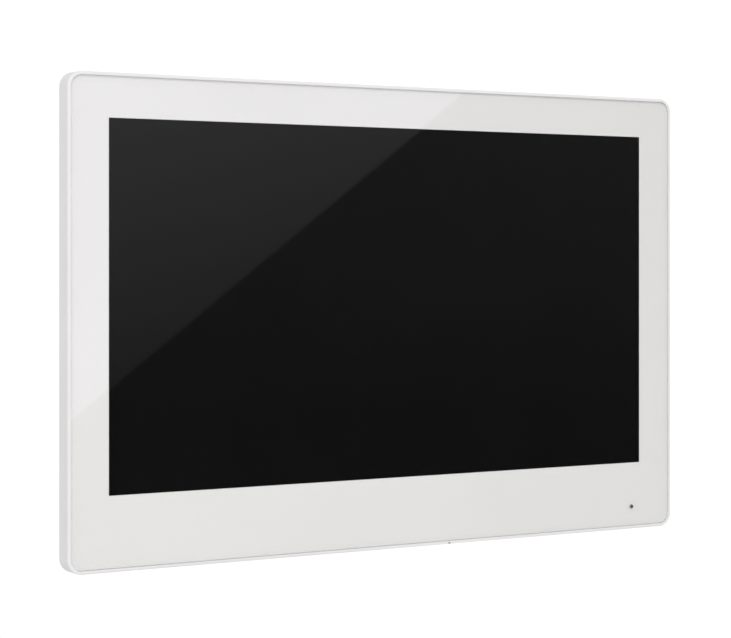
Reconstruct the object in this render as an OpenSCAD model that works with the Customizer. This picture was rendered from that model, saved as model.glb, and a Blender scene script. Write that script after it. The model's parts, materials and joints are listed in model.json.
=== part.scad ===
// Wall-mounted video intercom monitor, all sizes in millimetres.
// +Z is up, the screen faces -Y and the wall is the plane y = 0.
// The origin is on the wall, at the middle of the front's outline.

/* [Front outline] */
// Width of the front frame
body_w = 252.7; // [250:0.1:310]
// Height of the front frame
body_h = 165.6; // [164:0.1:205]
// Radius of the front's corners
corner_r = 5; // [4:0.5:7]
// Depth of the front frame, from its front edge to its back edge
frame_d = 7.4; // [7.4:0.1:10]
// Depth of the rear housing, from the frame's back edge to the wall
housing_d = 15; // [15:0.1:20]
// Wall thickness of the front frame
frame_wall = 2; // [1.6:0.1:2.4]
// Width of the frame's rim round the glass
rim_w = 1.1; // [0.8:0.1:1.6]
// Thickness of the ledge that carries the glass
ledge_t = 1.6; // [1.2:0.1:1.8]

/* [Glass] */
// Thickness of the cover glass
glass_t = 1.1; // [0.9:0.1:1.3]
// Gap between the glass and the rim
glass_gap = 0.15; // [0.1:0.05:0.3]
// How far the glass lies behind the rim
glass_recess = 0.1; // [0:0.05:0.2]
// Thickness of the printed border film
border_t = 0.1; // [0.05:0.01:0.15]
// Thickness of the adhesive under the glass
adhesive_t = 0.2; // [0.15:0.05:0.3]
// Thickness of the touch sensor
touch_t = 0.35; // [0.25:0.05:0.45]
// Margin of the touch sensor round the window
touch_margin = 3.2; // [2.6:0.1:3.6]

/* [Screen] */
// Width of the visible screen
screen_w = 222.7; // [200:0.1:223]
// Height of the visible screen
screen_h = 125.3; // [110:0.1:126]
// Height of the screen's middle above the front's middle
screen_lift = 5.15; // [4:0.05:5.5]
// Border of the display module at its sides
module_side = 6.15; // [5:0.05:6.5]
// Border of the display module at its top
module_top = 5.4; // [5:0.1:5.8]
// Border of the display module at its bottom
module_foot = 12.3; // [11:0.1:12.5]
// Free space round the display module
module_gap = 1.6; // [1.2:0.1:1.8]
// Thickness of the foam between the touch sensor and the display
foam_t = 0.5; // [0.3:0.05:0.5]
// Thickness of the display's sheet-metal bezel
bezel_t = 0.3; // [0.2:0.05:0.35]
// Thickness of the liquid crystal cell
cell_t = 1.1; // [0.9:0.1:1.2]
// Thickness of the diffuser and prism films
films_t = 0.4; // [0.3:0.05:0.5]
// Thickness of the light guide
guide_t = 1.2; // [0.8:0.1:1.3]
// Thickness of the white reflector sheet
reflector_t = 0.2; // [0.1:0.05:0.25]

/* [Rear housing] */
// How far the housing stands in from the front's outline
housing_inset = 9; // [8.4:0.1:10]
// Radius of the housing's corners
housing_r = 8; // [6:0.5:12]
// Wall thickness of the housing
housing_wall = 2; // [1.8:0.1:2.2]
// Thickness of the housing's flange inside the frame
flange_t = 1.6; // [1.4:0.1:1.7]
// Gap between the housing and the wall
wall_gap = 0.4; // [0.3:0.1:0.8]
// Width of a vent slot
vent_w = 2; // [1.4:0.1:2.6]
// Spacing of the vent slots
vent_pitch = 4.6; // [4.2:0.1:6]

/* [Wall bracket] */
// Width of the bracket
bracket_w = 160; // [150:1:164]
// Height of the bracket
bracket_h = 110; // [100:1:114]
// Thickness of the bracket's sheet steel
bracket_t = 1.2; // [1:0.1:1.2]
// Gap between the bracket and the recess
bracket_gap = 0.2; // [0.2:0.05:0.3]
// Width of the cable opening
opening_w = 48; // [40:1:50]
// Height of the cable opening
opening_h = 56; // [50:1:60]
// Spacing of the wall screws across the bracket
wall_hole_dx = 100; // [80:1:110]
// Spacing of the wall screws up the bracket
wall_hole_dz = 84; // [76:1:90]
// Diameter of the wall screw holes
wall_hole_d = 4.5; // [4:0.1:5.5]
// Spacing of the two screws of a flush box
box_hole_dx = 60; // [60:1:62]
// Diameter of the flush box holes
box_hole_d = 4.2; // [3.6:0.1:4.5]
// Width of a hook
hook_w = 8; // [6:0.5:10]
// Height of a hook's lip
hook_lip = 3.5; // [2.5:0.1:4]
// Distance of the hooks from the middle
hook_x = 66; // [62:1:68]
// Height of the upper hooks' seat
hook_top_z = 35; // [30:1:38]
// Height of the lower hooks' seat
hook_low_z = -25; // [-28:1:-20]
// How far the monitor lifts to come off its hooks
lift_travel = 5; // [4:0.5:6]

/* [Boards] */
// Width of the main board
board_w = 150; // [146:1:156]
// Height of the main board
board_h = 100; // [96:1:104]
// Thickness of the main board
board_t = 1.6; // [1.2:0.1:1.8]
// Middle of the main board from the front's middle
board_x = -5; // [-8:1:-2]
// Height of the main board's middle
board_z = 2; // [0:1:3]
// Height of the posts under the main board
post_h = 2.4; // [2:0.1:2.6]
// Thickness of the chassis plate
chassis_t = 1; // [0.8:0.1:1.1]
// Thickness of the microphone board
strip_t = 0.8; // [0.6:0.1:1]
// Distance of the microphone hole from the right edge
mic_side = 18.9; // [17:0.1:24]
// Distance of the microphone hole from the bottom edge
mic_rise = 8.4; // [8:0.1:9]
// Diameter of the microphone hole
mic_hole_d = 1.5; // [1:0.1:1.8]
// Place of the reset hole from the front's middle
reset_x = 23.1; // [22:0.1:26]
// Diameter of the reset hole
reset_hole_d = 1.3; // [1.1:0.1:1.6]
// Travel of the reset button
reset_travel = 0.3; // [0.2:0.05:0.35]

/* [Connectors] */
// Width of the connector bay
bay_w = 50; // [48:1:52]
// Lower edge of the connector bay
bay_low = -32; // [-36:1:-30]
// Upper edge of the connector bay
bay_top = 26; // [26:1:28]
// Pitch of the terminals
terminal_pitch = 3.5; // [3.5:0.01:3.81]
// Number of terminals
terminal_count = 4; // [3:1:4]
// Width of the network socket
jack_w = 16; // [15.5:0.1:16.4]
// Depth of the network socket's case
jack_d = 12.2; // [11.6:0.1:12.3]
// Length of the network socket
jack_l = 16.5; // [15:0.5:17]

/* [Speaker] */
// Length of the speaker box
speaker_w = 58; // [50:1:60]
// Height of the speaker box
speaker_h = 18; // [16:1:20]
// Middle of the speaker box from the front's middle
speaker_x = 71; // [70:1:74]
// Thickness of the foam under the speaker
speaker_seal_t = 1; // [0.8:0.1:1.5]

/* [Hidden] */
$fn = 48;
eps = 0.01;

// Depths, from the front to the wall
front = -frame_d - housing_d;
joint_y = -housing_d;
back_y = -wall_gap;
glass_front = front + glass_recess;
glass_back = glass_front + glass_t;
border_back = glass_back + border_t;
ledge_front = border_back + adhesive_t;
ledge_back = ledge_front + ledge_t;
touch_back = border_back + touch_t;
module_front = touch_back + foam_t;
cell_front = module_front + bezel_t;
cell_back = cell_front + cell_t;
films_back = cell_back + films_t;
guide_back = films_back + guide_t;
reflector_back = guide_back + reflector_t;
module_back = reflector_back + bezel_t;
chassis_front = joint_y - chassis_t;
board_front = joint_y + post_h;
board_back = board_front + board_t;
recess_back = -bracket_t - bracket_gap;
recess_front = recess_back - housing_wall;
strip_back = ledge_back + strip_t;

// Outlines
rim_inner_w = body_w - 2 * rim_w;
rim_inner_h = body_h - 2 * rim_w;
glass_w = rim_inner_w - 2 * glass_gap;
glass_h = rim_inner_h - 2 * glass_gap;
glass_r = corner_r - rim_w - glass_gap;
frame_inner_w = body_w - 2 * frame_wall;
frame_inner_h = body_h - 2 * frame_wall;
frame_inner_r = corner_r - frame_wall;
screen_low = screen_lift - screen_h / 2;
module_w = screen_w + 2 * module_side;
module_h = screen_h + module_top + module_foot;
module_z = screen_lift + (module_top - module_foot) / 2;
module_low = module_z - module_h / 2;
inner_slack = 0.05;
can_w = module_w - 2 * (bezel_t + inner_slack);
can_h = module_h - 2 * (bezel_t + inner_slack);
bezel_lip = 1;
cell_margin = 3.7;
guide_margin = 3;
film_foot = 4;
guide_low = screen_low - film_foot;
guide_high = screen_low + screen_h + guide_margin;
led_h = 2.8;
housing_w = body_w - 2 * housing_inset;
housing_h = body_h - 2 * housing_inset;
cavity_w = housing_w - 2 * housing_wall;
cavity_h = housing_h - 2 * housing_wall;
cavity_r = housing_r - housing_wall;
flange_gap = 0.15;
chassis_gap = 1;
chassis_w = cavity_w - 2 * chassis_gap;
chassis_h = cavity_h - 2 * chassis_gap;
recess_side = 3;
recess_top = 1.5;
recess_w = bracket_w + 2 * recess_side;
recess_high = bracket_h / 2 + recess_top;
recess_low = -bracket_h / 2 - lift_travel - recess_top;

// Case screws: corners, side middles, two at the top and two at the bottom
boss_edge = 5.5;
boss_r = 2.3;
case_x = body_w / 2 - boss_edge;
case_z = body_h / 2 - boss_edge;
case_top_x = 60;
case_reset_step = 17;
case_spots = [
    for (sx = [-1, 1], sz = [-1, 0, 1]) [sx * case_x, sz * case_z],
    for (sx = [-1, 1]) [sx * case_top_x, case_z],
    [-case_top_x, -case_z],
    [reset_x - case_reset_step, -case_z]
];
case_shank_r = 1.1;
case_head_r = 2.2;
case_head_h = 1;
case_sink = 0.5;
thread_play = 0.05;

// Chassis screws go into posts of the rear housing
chassis_post_r = 3;
chassis_edge = 7;
chassis_spots = [
    for (sx = [-1, 1], sz = [-1, 0, 1])
        [sx * (cavity_w / 2 - chassis_edge), sz * (cavity_h / 2 - chassis_edge)]
];
chassis_shank_r = 1.25;
chassis_shank_l = 7;
wafer_r = 2.8;
wafer_h = 0.6;

// Main board screws
board_edge = 4;
board_spots = [
    for (sx = [-1, 1], sz = [-1, 1])
        [board_x + sx * (board_w / 2 - board_edge), board_z + sz * (board_h / 2 - board_edge)],
    [board_x, board_z + board_h / 2 - board_edge]
];
board_post_r = 2.6;
board_shank_r = 1.2;
board_head_r = 2.3;
board_head_h = 1.5;

// Microphone, reset switch and their strip board
mic_x = body_w / 2 - mic_side;
mic_z = -body_h / 2 + mic_rise;
strip_left = reset_x - 8;
strip_right = mic_x + 6.5;
strip_low = -frame_inner_h / 2 + 1;
strip_high = module_low - module_gap - 1.2;
strip_spots = [reset_x + 16, mic_x - 14];
boot_r = 2;
boot_play = 0.1;
mic_size = [3.8, 1, 3];
mic_port_d = 0.8;
switch_w = 4.6;
switch_d = 1.5;
switch_h = 3;
switch_low = -frame_inner_h / 2 + 2.2;
reset_y = strip_back + switch_d / 2;
button_w = 1.6;
button_d = 0.8;
button_out = 0.7;
button_in = 1;
button_play = 0.06;
nick_r = 0.6;

// Flexible circuits and their connectors under the main board
flex_t = 0.2;
flex_z = module_low - 0.8;
touch_flex_x = -60;
touch_flex_w = 12;
screen_flex_x = -15;
screen_flex_w = 22;
flex_slot_d = 1.2;
flex_high = board_z - board_h / 2 + 6;
flex_back = board_front - 1;

// Leads
lead_t = 1.2;
mic_lead_x = reset_x + 9;
mic_lead_w = 4.6;
lead_rise = 2;
lead_socket_h = 4.6;
lead_socket_l = 5;
lead_socket_z = board_z - board_h / 2 + 3;
speaker_lead_x = 56;
speaker_lead_w = 2.6;

// Speaker
speaker_low = -cavity_h / 2 + speaker_seal_t;
speaker_front = joint_y + 0.6;
speaker_back = recess_front - 0.4;
speaker_mid_y = (speaker_front + speaker_back) / 2;
speaker_shell = 1.2;
driver_w = 40;
driver_d = 7;
driver_h = 5;
driver_flange = 0.5;
driver_flange_t = 0.6;

// Connector bay
collar_t = 1.6;
collar_gap = 0.4;
jack_x = -22;
jack_top = bay_top - 1;
jack_low = jack_top - jack_l;
jack_front = joint_y + 0.4;
jack_back = jack_front + jack_d;
jack_shell_t = 0.3;
jack_mouth_w = 11.8;
jack_mouth_h = 7;
jack_mouth_d = 12;
jack_mouth_y = jack_front + 2.6;
jack_tab = 1.6;
contact_pitch = 1.02;
contact_start = 1;
header_x = 3.5;
header_w = terminal_count * terminal_pitch + 1.9;
header_h = 7.2;
header_l = 9.2;
header_top = bay_top - 1.5;
header_low = header_top - header_l;
header_wall = 1;
header_depth = 7.5;
plug_gap = 0.3;
plug_play = 0.1;
plug_h = 8.6;
plug_l = 14;
plug_front = board_back + 0.4;
plug_back = plug_front + plug_h;
plug_top = header_low - plug_gap;
plug_low = plug_top - plug_l;
plug_nose = 6.8;
pin_w = 1;
pin_play = 0.15;
wire_hole = 2.6;
clamp_r = 1.5;
clamp_play = 0.05;
clamp_sink = 0.6;
clamp_h = 2.4;

// A flat outline standing upright, from depth y0 to depth y1
module upright(y0, y1) {
    translate([0, y1, 0]) rotate([90, 0, 0]) linear_extrude(y1 - y0) children();
}

// A rectangle with round corners, centred on the origin
module rounded(w, h, r) {
    square([w - 2 * r, h], center = true);
    square([w, h - 2 * r], center = true);
    for (sx = [-1, 1], sz = [-1, 1])
        translate([sx * (w / 2 - r), sz * (h / 2 - r)]) circle(r);
}

// A box given by its lowest and highest corners
module block(low, high) {
    translate(low) cube(high - low);
}

// A round pin or hole along the depth
module pin(x, z, r, y0, y1) {
    translate([x, y1, z]) rotate([90, 0, 0]) cylinder(r = r, h = y1 - y0);
}

// A screw along the depth: its head is at y_head and its shank points to the front
module screw(x, z, y_head, head_r, head_h, shank_r, shank_l) {
    slot_w = head_r * 0.3;
    slot_l = head_r * 1.1;
    slot_d = head_h * 0.6;
    difference() {
        pin(x, z, head_r, y_head, y_head + head_h);
        for (turn = [0, 90])
            translate([x, y_head + head_h - slot_d / 2 + eps, z]) rotate([0, turn, 0])
                cube([slot_l, slot_d, slot_w], center = true);
    }
    pin(x, z, shank_r, y_head - shank_l, y_head);
}

// The frame round the glass, with a ledge, locating ribs and screw bosses
module front_frame() {
    ledge_w = module_w + 2 * module_gap;
    ledge_h = module_h + 2 * module_gap;
    rib_l = 8;
    rib_t = 2.6;
    rib_play = 0.4;
    rib_back = joint_y - flange_t - 0.4;
    color("white") difference() {
        union() {
            difference() {
                upright(front, joint_y) rounded(body_w, body_h, corner_r);
                upright(front - eps, ledge_front)
                    rounded(rim_inner_w, rim_inner_h, corner_r - rim_w);
                upright(ledge_back, joint_y + eps)
                    rounded(frame_inner_w, frame_inner_h, frame_inner_r);
                upright(front - eps, joint_y) translate([0, module_z])
                    square([ledge_w, ledge_h], center = true);
            }
            for (spot = case_spots)
                pin(spot[0], spot[1], boss_r, ledge_back - eps, joint_y - flange_t);
            for (side = [-1, 1], rise = [-40, 40]) {
                rib_x = side * (module_w / 2 + rib_play + rib_t / 2);
                block([rib_x - rib_t / 2, ledge_back - eps, module_z + rise - rib_l / 2],
                      [rib_x + rib_t / 2, rib_back, module_z + rise + rib_l / 2]);
            }
            for (side = [-80, 0, 80]) {
                rib_z = module_z + module_h / 2 + rib_play;
                block([side - rib_l / 2, ledge_back - eps, rib_z],
                      [side + rib_l / 2, rib_back, rib_z + rib_t]);
            }
        }
        for (spot = case_spots)
            pin(spot[0], spot[1], case_shank_r + thread_play, ledge_front + 0.6, joint_y);
        for (x = strip_spots)
            pin(x, (strip_low + strip_high) / 2, 0.85, ledge_front + 0.3, ledge_back + eps);
        pin(mic_x, mic_z, boot_r + boot_play, ledge_front - eps, ledge_back + eps);
        translate([reset_x, reset_y, -body_h / 2 - eps])
            cylinder(d = reset_hole_d, h = frame_wall + 2 * eps);
        pin(reset_x, -body_h / 2, nick_r, front - eps, reset_y);
    }
}

module cover_glass() {
    color([0.8, 0.85, 0.86, 0.5]) difference() {
        upright(glass_front, glass_back) rounded(glass_w, glass_h, glass_r);
        pin(mic_x, mic_z, mic_hole_d / 2, glass_front - eps, glass_back + eps);
    }
}

// The white print behind the glass, open over the screen
module border_print() {
    edge = 0.3;
    color("whitesmoke") difference() {
        upright(glass_back, border_back)
            rounded(glass_w - 2 * edge, glass_h - 2 * edge, glass_r - edge);
        upright(glass_back - eps, border_back + eps) translate([0, screen_lift])
            square([screen_w, screen_h], center = true);
        pin(mic_x, mic_z, mic_hole_d / 2, glass_back - eps, border_back + eps);
    }
}

module glass_adhesive() {
    edge = 1;
    setback = 0.2;
    color("dimgray") difference() {
        upright(border_back, ledge_front)
            rounded(glass_w - 2 * edge, glass_h - 2 * edge, glass_r - edge);
        upright(border_back - eps, ledge_front + eps) translate([0, module_z])
            square([module_w + 2 * (module_gap + setback), module_h + 2 * (module_gap + setback)],
                   center = true);
        pin(mic_x, mic_z, boot_r + boot_play, border_back - eps, ledge_front + eps);
    }
}

// The touch sensor film, which fills the print's window so that no air is left
module touch_sensor() {
    color("darkslategray") {
        upright(border_back, touch_back) translate([0, screen_lift])
            square([screen_w + 2 * touch_margin, screen_h + 2 * touch_margin], center = true);
        upright(glass_back, border_back + eps) translate([0, screen_lift])
            square([screen_w, screen_h], center = true);
    }
}

// A flexible circuit: down from y0, back under the display and up behind the chassis
module flex(x, w, y0, z0) {
    block([x, y0, flex_z], [x + w, y0 + flex_t, z0]);
    block([x, y0, flex_z - flex_t], [x + w, flex_back, flex_z]);
    block([x, flex_back - flex_t, flex_z - eps], [x + w, flex_back, flex_high]);
}

module touch_flex() {
    color("darkorange")
        flex(touch_flex_x, touch_flex_w, border_back, screen_low - touch_margin);
}

module display_flex() {
    reach = 12;
    color("darkorange") flex(screen_flex_x, screen_flex_w, module_back, module_low + reach);
}

module display_foam() {
    outer = touch_margin - 0.2;
    inner = bezel_lip + 0.5;
    color([0.15, 0.15, 0.15]) upright(touch_back, module_front) translate([0, screen_lift])
        difference() {
            square([screen_w + 2 * outer, screen_h + 2 * outer], center = true);
            square([screen_w + 2 * inner, screen_h + 2 * inner], center = true);
        }
}

module display_bezel() {
    color("silver") {
        upright(module_front, cell_front) difference() {
            translate([0, module_z]) square([module_w, module_h], center = true);
            translate([0, screen_lift])
                square([screen_w + 2 * bezel_lip, screen_h + 2 * bezel_lip], center = true);
        }
        upright(module_front, module_back) translate([0, module_z]) difference() {
            square([module_w, module_h], center = true);
            square([module_w - 2 * bezel_t, module_h - 2 * bezel_t], center = true);
        }
    }
}

module display_cell() {
    low = screen_low - film_foot - 1;
    high = screen_low + screen_h + cell_margin;
    half = screen_w / 2 + cell_margin;
    color([0.05, 0.05, 0.06]) block([-half, cell_front, low], [half, cell_back, high]);
}

// The moulded inner frame: the cell sits in its front, the light guide in its back
module display_mould() {
    half = screen_w / 2 + cell_margin + inner_slack;
    low = screen_low - film_foot - 1 - inner_slack;
    high = screen_low + screen_h + cell_margin + inner_slack;
    guide_half = screen_w / 2 + guide_margin + inner_slack;
    color("white") difference() {
        upright(cell_front, reflector_back) translate([0, module_z])
            square([can_w, can_h], center = true);
        block([-half, cell_front - eps, low], [half, cell_back, high]);
        block([-guide_half, cell_front - eps, guide_low + 0.5],
              [guide_half, reflector_back + eps, guide_high + inner_slack]);
        block([-guide_half, cell_back + 0.2, guide_low - led_h - inner_slack],
              [guide_half, reflector_back + eps, guide_low + 1]);
    }
}

module optical_films() {
    half = screen_w / 2 + guide_margin;
    color("ghostwhite") block([-half, cell_back, guide_low + 0.7], [half, films_back, guide_high]);
}

module light_guide() {
    half = screen_w / 2 + guide_margin;
    color([0.85, 0.9, 0.95, 0.6])
        block([-half, films_back, guide_low], [half, guide_back, guide_high]);
}

// The row of LEDs along the light guide's lower edge
module led_strip() {
    tape_h = 1;
    led_w = 3;
    led_pitch = 7;
    led_total = floor((screen_w - 6) / led_pitch);
    half = screen_w / 2;
    color("khaki") {
        block([-half, films_back, guide_low - led_h], [half, guide_back, guide_low - led_h + tape_h]);
        for (i = [0 : led_total - 1]) {
            x = (i - (led_total - 1) / 2) * led_pitch;
            block([x - led_w / 2, films_back + 0.2, guide_low - led_h + tape_h - eps],
                  [x + led_w / 2, guide_back - 0.2, guide_low - 0.1]);
        }
    }
}

module reflector_sheet() {
    half = screen_w / 2 + guide_margin;
    color("white")
        block([-half, guide_back, guide_low - led_h], [half, reflector_back, guide_high]);
}

module display_tray() {
    color("silver") upright(reflector_back, module_back) translate([0, module_z])
        square([can_w, can_h], center = true);
}

// Foam tape that holds the display to the chassis
module display_pads() {
    strip_w = 12;
    strip_l = 90;
    rows = [-30, 30];
    color([0.2, 0.2, 0.2]) for (side = [-60, 60], rise = rows)
        block([side - strip_l / 2, module_back, module_z + rise - strip_w / 2],
              [side + strip_l / 2, chassis_front, module_z + rise + strip_w / 2]);
}

module chassis_plate() {
    slot_extra = 1;
    color("lightgray") difference() {
        upright(chassis_front, joint_y) rounded(chassis_w, chassis_h, cavity_r - chassis_gap);
        for (spot = chassis_spots)
            pin(spot[0], spot[1], chassis_shank_r + thread_play, chassis_front - eps, joint_y + eps);
        for (spot = board_spots)
            pin(spot[0], spot[1], board_shank_r + thread_play, chassis_front - eps, joint_y + eps);
        for (run = [[touch_flex_x, touch_flex_w], [screen_flex_x, screen_flex_w],
                    [mic_lead_x - mic_lead_w / 2, mic_lead_w]])
            block([run[0] - slot_extra, chassis_front - eps, -chassis_h / 2 - eps],
                  [run[0] + run[1] + slot_extra, joint_y + eps, flex_z + flex_slot_d]);
    }
}

module chassis_screws() {
    color("silver") for (spot = chassis_spots)
        translate([0, chassis_front, 0]) mirror([0, 1, 0])
            screw(spot[0], spot[1], 0, wafer_r, wafer_h, chassis_shank_r, chassis_shank_l);
}

module board_posts() {
    color("gold") for (spot = board_spots) difference() {
        pin(spot[0], spot[1], board_post_r, joint_y, board_front);
        pin(spot[0], spot[1], board_shank_r + thread_play, joint_y - eps, board_front + eps);
    }
}

// The main board, cut away where the network socket and its cable's plug go
module main_board() {
    jack_play = 0.3;
    color("darkgreen") difference() {
        upright(board_front, board_back) translate([board_x, board_z])
            square([board_w, board_h], center = true);
        for (spot = board_spots)
            pin(spot[0], spot[1], board_shank_r + thread_play, board_front - eps, board_back + eps);
        block([jack_x - jack_play, board_front - eps, bay_low + 2],
              [jack_x + jack_w + jack_play, board_back + eps, jack_top + jack_play]);
    }
}

module board_screws() {
    shank_l = board_t + post_h - 0.4;
    color("silver") for (spot = board_spots)
        screw(spot[0], spot[1], board_back, board_head_r, board_head_h, board_shank_r, shank_l);
}

// A chip on the back of the main board
module chip(x, z, w, h, t) {
    block([board_x + x - w / 2, board_back, board_z + z - h / 2],
          [board_x + x + w / 2, board_back + t, board_z + z + h / 2]);
}

module processor() {
    color([0.12, 0.12, 0.12]) chip(-52, 30, 17, 17, 1.3);
}

module memory_chips() {
    color([0.14, 0.14, 0.14]) {
        chip(-36.5, 34.5, 8, 10.5, 1);
        chip(-36.5, 22.5, 8, 10.5, 1);
    }
}

module thermal_pad() {
    color("lightskyblue") translate([0, 1.3, 0]) chip(-52, 30, 15, 15, 0.9);
}

// The sheet-metal can over the processor and the memory
module shield_can() {
    sheet = 0.3;
    inside = 2.2;
    color("silver") difference() {
        chip(-46, 29, 34, 28, inside + sheet);
        translate([0, -eps, 0]) chip(-46, 29, 34 - 2 * sheet, 28 - 2 * sheet, inside + eps);
    }
}

module power_coils() {
    color("dimgray") for (i = [0 : 2]) difference() {
        chip(52, 38 - 13 * i, 8, 8, 4);
        pin(board_x + 52, board_z + 38 - 13 * i, 2.6, board_back + 3.4, board_back + 5);
    }
}

module capacitors() {
    color("slategray") for (i = [0 : 3]) {
        x = board_x + 66;
        z = board_z + 36 - 11 * i;
        pin(x, z, 3.1, board_back + 0.4, board_back + 5.8);
        chip(66, 36 - 11 * i, 6.6, 6.6, 0.5);
    }
}

module network_transformer() {
    color([0.1, 0.1, 0.1]) chip(-10, 37, 15, 10, 5.4);
}

module control_chips() {
    color([0.16, 0.16, 0.16]) {
        for (i = [0 : 2]) chip(38, 36 - 12 * i, 6, 5, 1.5);
        for (i = [0 : 1]) chip(-60 + 14 * i, -8, 9, 9, 1);
        chip(-40, -34, 7, 7, 0.9);
        chip(42, -20, 10, 8, 1.6);
    }
}

cell_spot = [-56, -30];
module clock_cell_holder() {
    color("black") difference() {
        chip(cell_spot[0], cell_spot[1], 15.5, 15.5, 4);
        pin(board_x + cell_spot[0], board_z + cell_spot[1], 6.45, board_back + 1.5, board_back + 5);
    }
}

module clock_cell() {
    color("silver")
        pin(board_x + cell_spot[0], board_z + cell_spot[1], 6.25, board_back + 1.5, board_back + 3.5);
}

// Sockets for the two flexible circuits, on the front of the main board
module flex_sockets() {
    wall = 1;
    socket_t = 1.9;
    color("ivory") for (run = [[touch_flex_x, touch_flex_w], [screen_flex_x, screen_flex_w]])
        difference() {
            block([run[0] - wall, board_front - socket_t, flex_high - 4],
                  [run[0] + run[1] + wall, board_front, flex_high + 2]);
            block([run[0] - 0.1, flex_back - flex_t - 0.05, flex_high - 4 - eps],
                  [run[0] + run[1] + 0.1, flex_back + 0.05, flex_high + 0.1]);
        }
}

// A wire-to-board socket whose mouth faces down
module lead_socket(x, w) {
    wall = 0.8;
    mouth = 3;
    difference() {
        block([x - w / 2 - wall, board_back, lead_socket_z],
              [x + w / 2 + wall, board_back + lead_socket_h, lead_socket_z + lead_socket_l]);
        block([x - w / 2 - 0.1, board_back + lead_rise - 0.1, lead_socket_z - eps],
              [x + w / 2 + 0.1, board_back + lead_rise + lead_t + 0.1, lead_socket_z + mouth]);
    }
}

module lead_sockets() {
    color("ivory") {
        lead_socket(mic_lead_x, mic_lead_w);
        lead_socket(speaker_lead_x, speaker_lead_w);
    }
}

// The network socket: a tinned shell round a black insert with eight spring contacts
module jack_shell() {
    tab_z = jack_low + jack_l * 0.6;
    color("silver") {
        difference() {
            block([jack_x, jack_front, jack_low], [jack_x + jack_w, jack_back, jack_top]);
            block([jack_x + jack_shell_t, jack_front + jack_shell_t, jack_low - eps],
                  [jack_x + jack_w - jack_shell_t, jack_back - jack_shell_t,
                   jack_top - jack_shell_t]);
        }
        for (x = [jack_x - jack_tab, jack_x + jack_w - eps])
            block([x, board_back, tab_z - 2], [x + jack_tab + eps, board_back + jack_shell_t, tab_z + 2]);
    }
}

module jack_insert() {
    play = jack_shell_t + inner_slack;
    mid = jack_x + jack_w / 2;
    latch_w = 6;
    latch_h = 1.6;
    color([0.08, 0.08, 0.08]) difference() {
        block([jack_x + play, jack_front + play, jack_low + 0.2],
              [jack_x + jack_w - play, jack_back - play, jack_top - jack_shell_t]);
        block([mid - jack_mouth_w / 2, jack_mouth_y, jack_low - eps],
              [mid + jack_mouth_w / 2, jack_mouth_y + jack_mouth_h, jack_low + jack_mouth_d]);
        block([mid - latch_w / 2, jack_mouth_y - latch_h, jack_low - eps],
              [mid + latch_w / 2, jack_mouth_y + eps, jack_low + jack_mouth_d - 4]);
        for (i = [0 : 7])
            block([mid + (i - 3.5) * contact_pitch - 0.3, jack_mouth_y + jack_mouth_h - eps,
                   jack_low + contact_start],
                  [mid + (i - 3.5) * contact_pitch + 0.3, jack_mouth_y + jack_mouth_h + 0.5,
                   jack_low + jack_mouth_d]);
    }
}

// Eight wires that rise from the socket's mouth into its cavity
module jack_contacts() {
    mid = jack_x + jack_w / 2;
    lean = 12;
    wire = 0.35;
    length = 8.5;
    color("gold") for (i = [0 : 7])
        translate([mid + (i - 3.5) * contact_pitch - wire / 2, jack_mouth_y + jack_mouth_h + 0.05,
                   jack_low + contact_start])
            rotate([lean, 0, 0]) cube([wire, 0.3, length]);
}

// The terminal header: its mouth faces down and takes the plug's nose
module terminal_header() {
    color("darkgreen") difference() {
        block([header_x, board_back, header_low], [header_x + header_w, board_back + header_h, header_top]);
        block([header_x + header_wall, board_back + header_wall, header_low - eps],
              [header_x + header_w - header_wall, board_back + header_h - header_wall,
               header_low + header_depth]);
        for (i = [0 : terminal_count - 1]) {
            x = header_x + header_w / 2 + (i - (terminal_count - 1) / 2) * terminal_pitch;
            y = board_back + header_h / 2;
            block([x - pin_w / 2, y - pin_w / 2, header_low + header_depth - eps],
                  [x + pin_w / 2, y + pin_w / 2, header_top + eps]);
        }
    }
}

module header_pins() {
    color("silver") for (i = [0 : terminal_count - 1]) {
        x = header_x + header_w / 2 + (i - (terminal_count - 1) / 2) * terminal_pitch;
        y = board_back + header_h / 2;
        block([x - pin_w / 2, y - pin_w / 2, header_low + 1.2],
              [x + pin_w / 2, y + pin_w / 2, header_top]);
    }
}

// The plug that the door bus wires are screwed into
module terminal_plug() {
    play = header_wall + plug_play;
    color("green") difference() {
        union() {
            block([header_x + plug_play, plug_front, plug_low],
                  [header_x + header_w - plug_play, plug_back, plug_top]);
            block([header_x + play, board_back + play, plug_top - eps],
                  [header_x + header_w - play, board_back + header_h - play, plug_top + plug_nose]);
        }
        for (i = [0 : terminal_count - 1]) {
            x = header_x + header_w / 2 + (i - (terminal_count - 1) / 2) * terminal_pitch;
            y = board_back + header_h / 2;
            block([x - pin_w / 2 - pin_play, y - pin_w / 2 - pin_play, plug_top + plug_nose - 6.4],
                  [x + pin_w / 2 + pin_play, y + pin_w / 2 + pin_play, plug_top + plug_nose + eps]);
            block([x - wire_hole / 2, y - wire_hole / 2, plug_low - eps],
                  [x + wire_hole / 2, y + wire_hole / 2, plug_low + 8]);
            pin(x, plug_low + 5, clamp_r + clamp_play, y + wire_hole / 2 - eps, plug_back + eps);
        }
    }
}

module plug_screws() {
    color("silver") for (i = [0 : terminal_count - 1]) {
        x = header_x + header_w / 2 + (i - (terminal_count - 1) / 2) * terminal_pitch;
        difference() {
            pin(x, plug_low + 5, clamp_r, plug_back - clamp_sink - clamp_h, plug_back - clamp_sink);
            block([x - clamp_r, plug_back - clamp_sink - 0.8, plug_low + 4.75],
                  [x + clamp_r, plug_back, plug_low + 5.25]);
        }
    }
}

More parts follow.
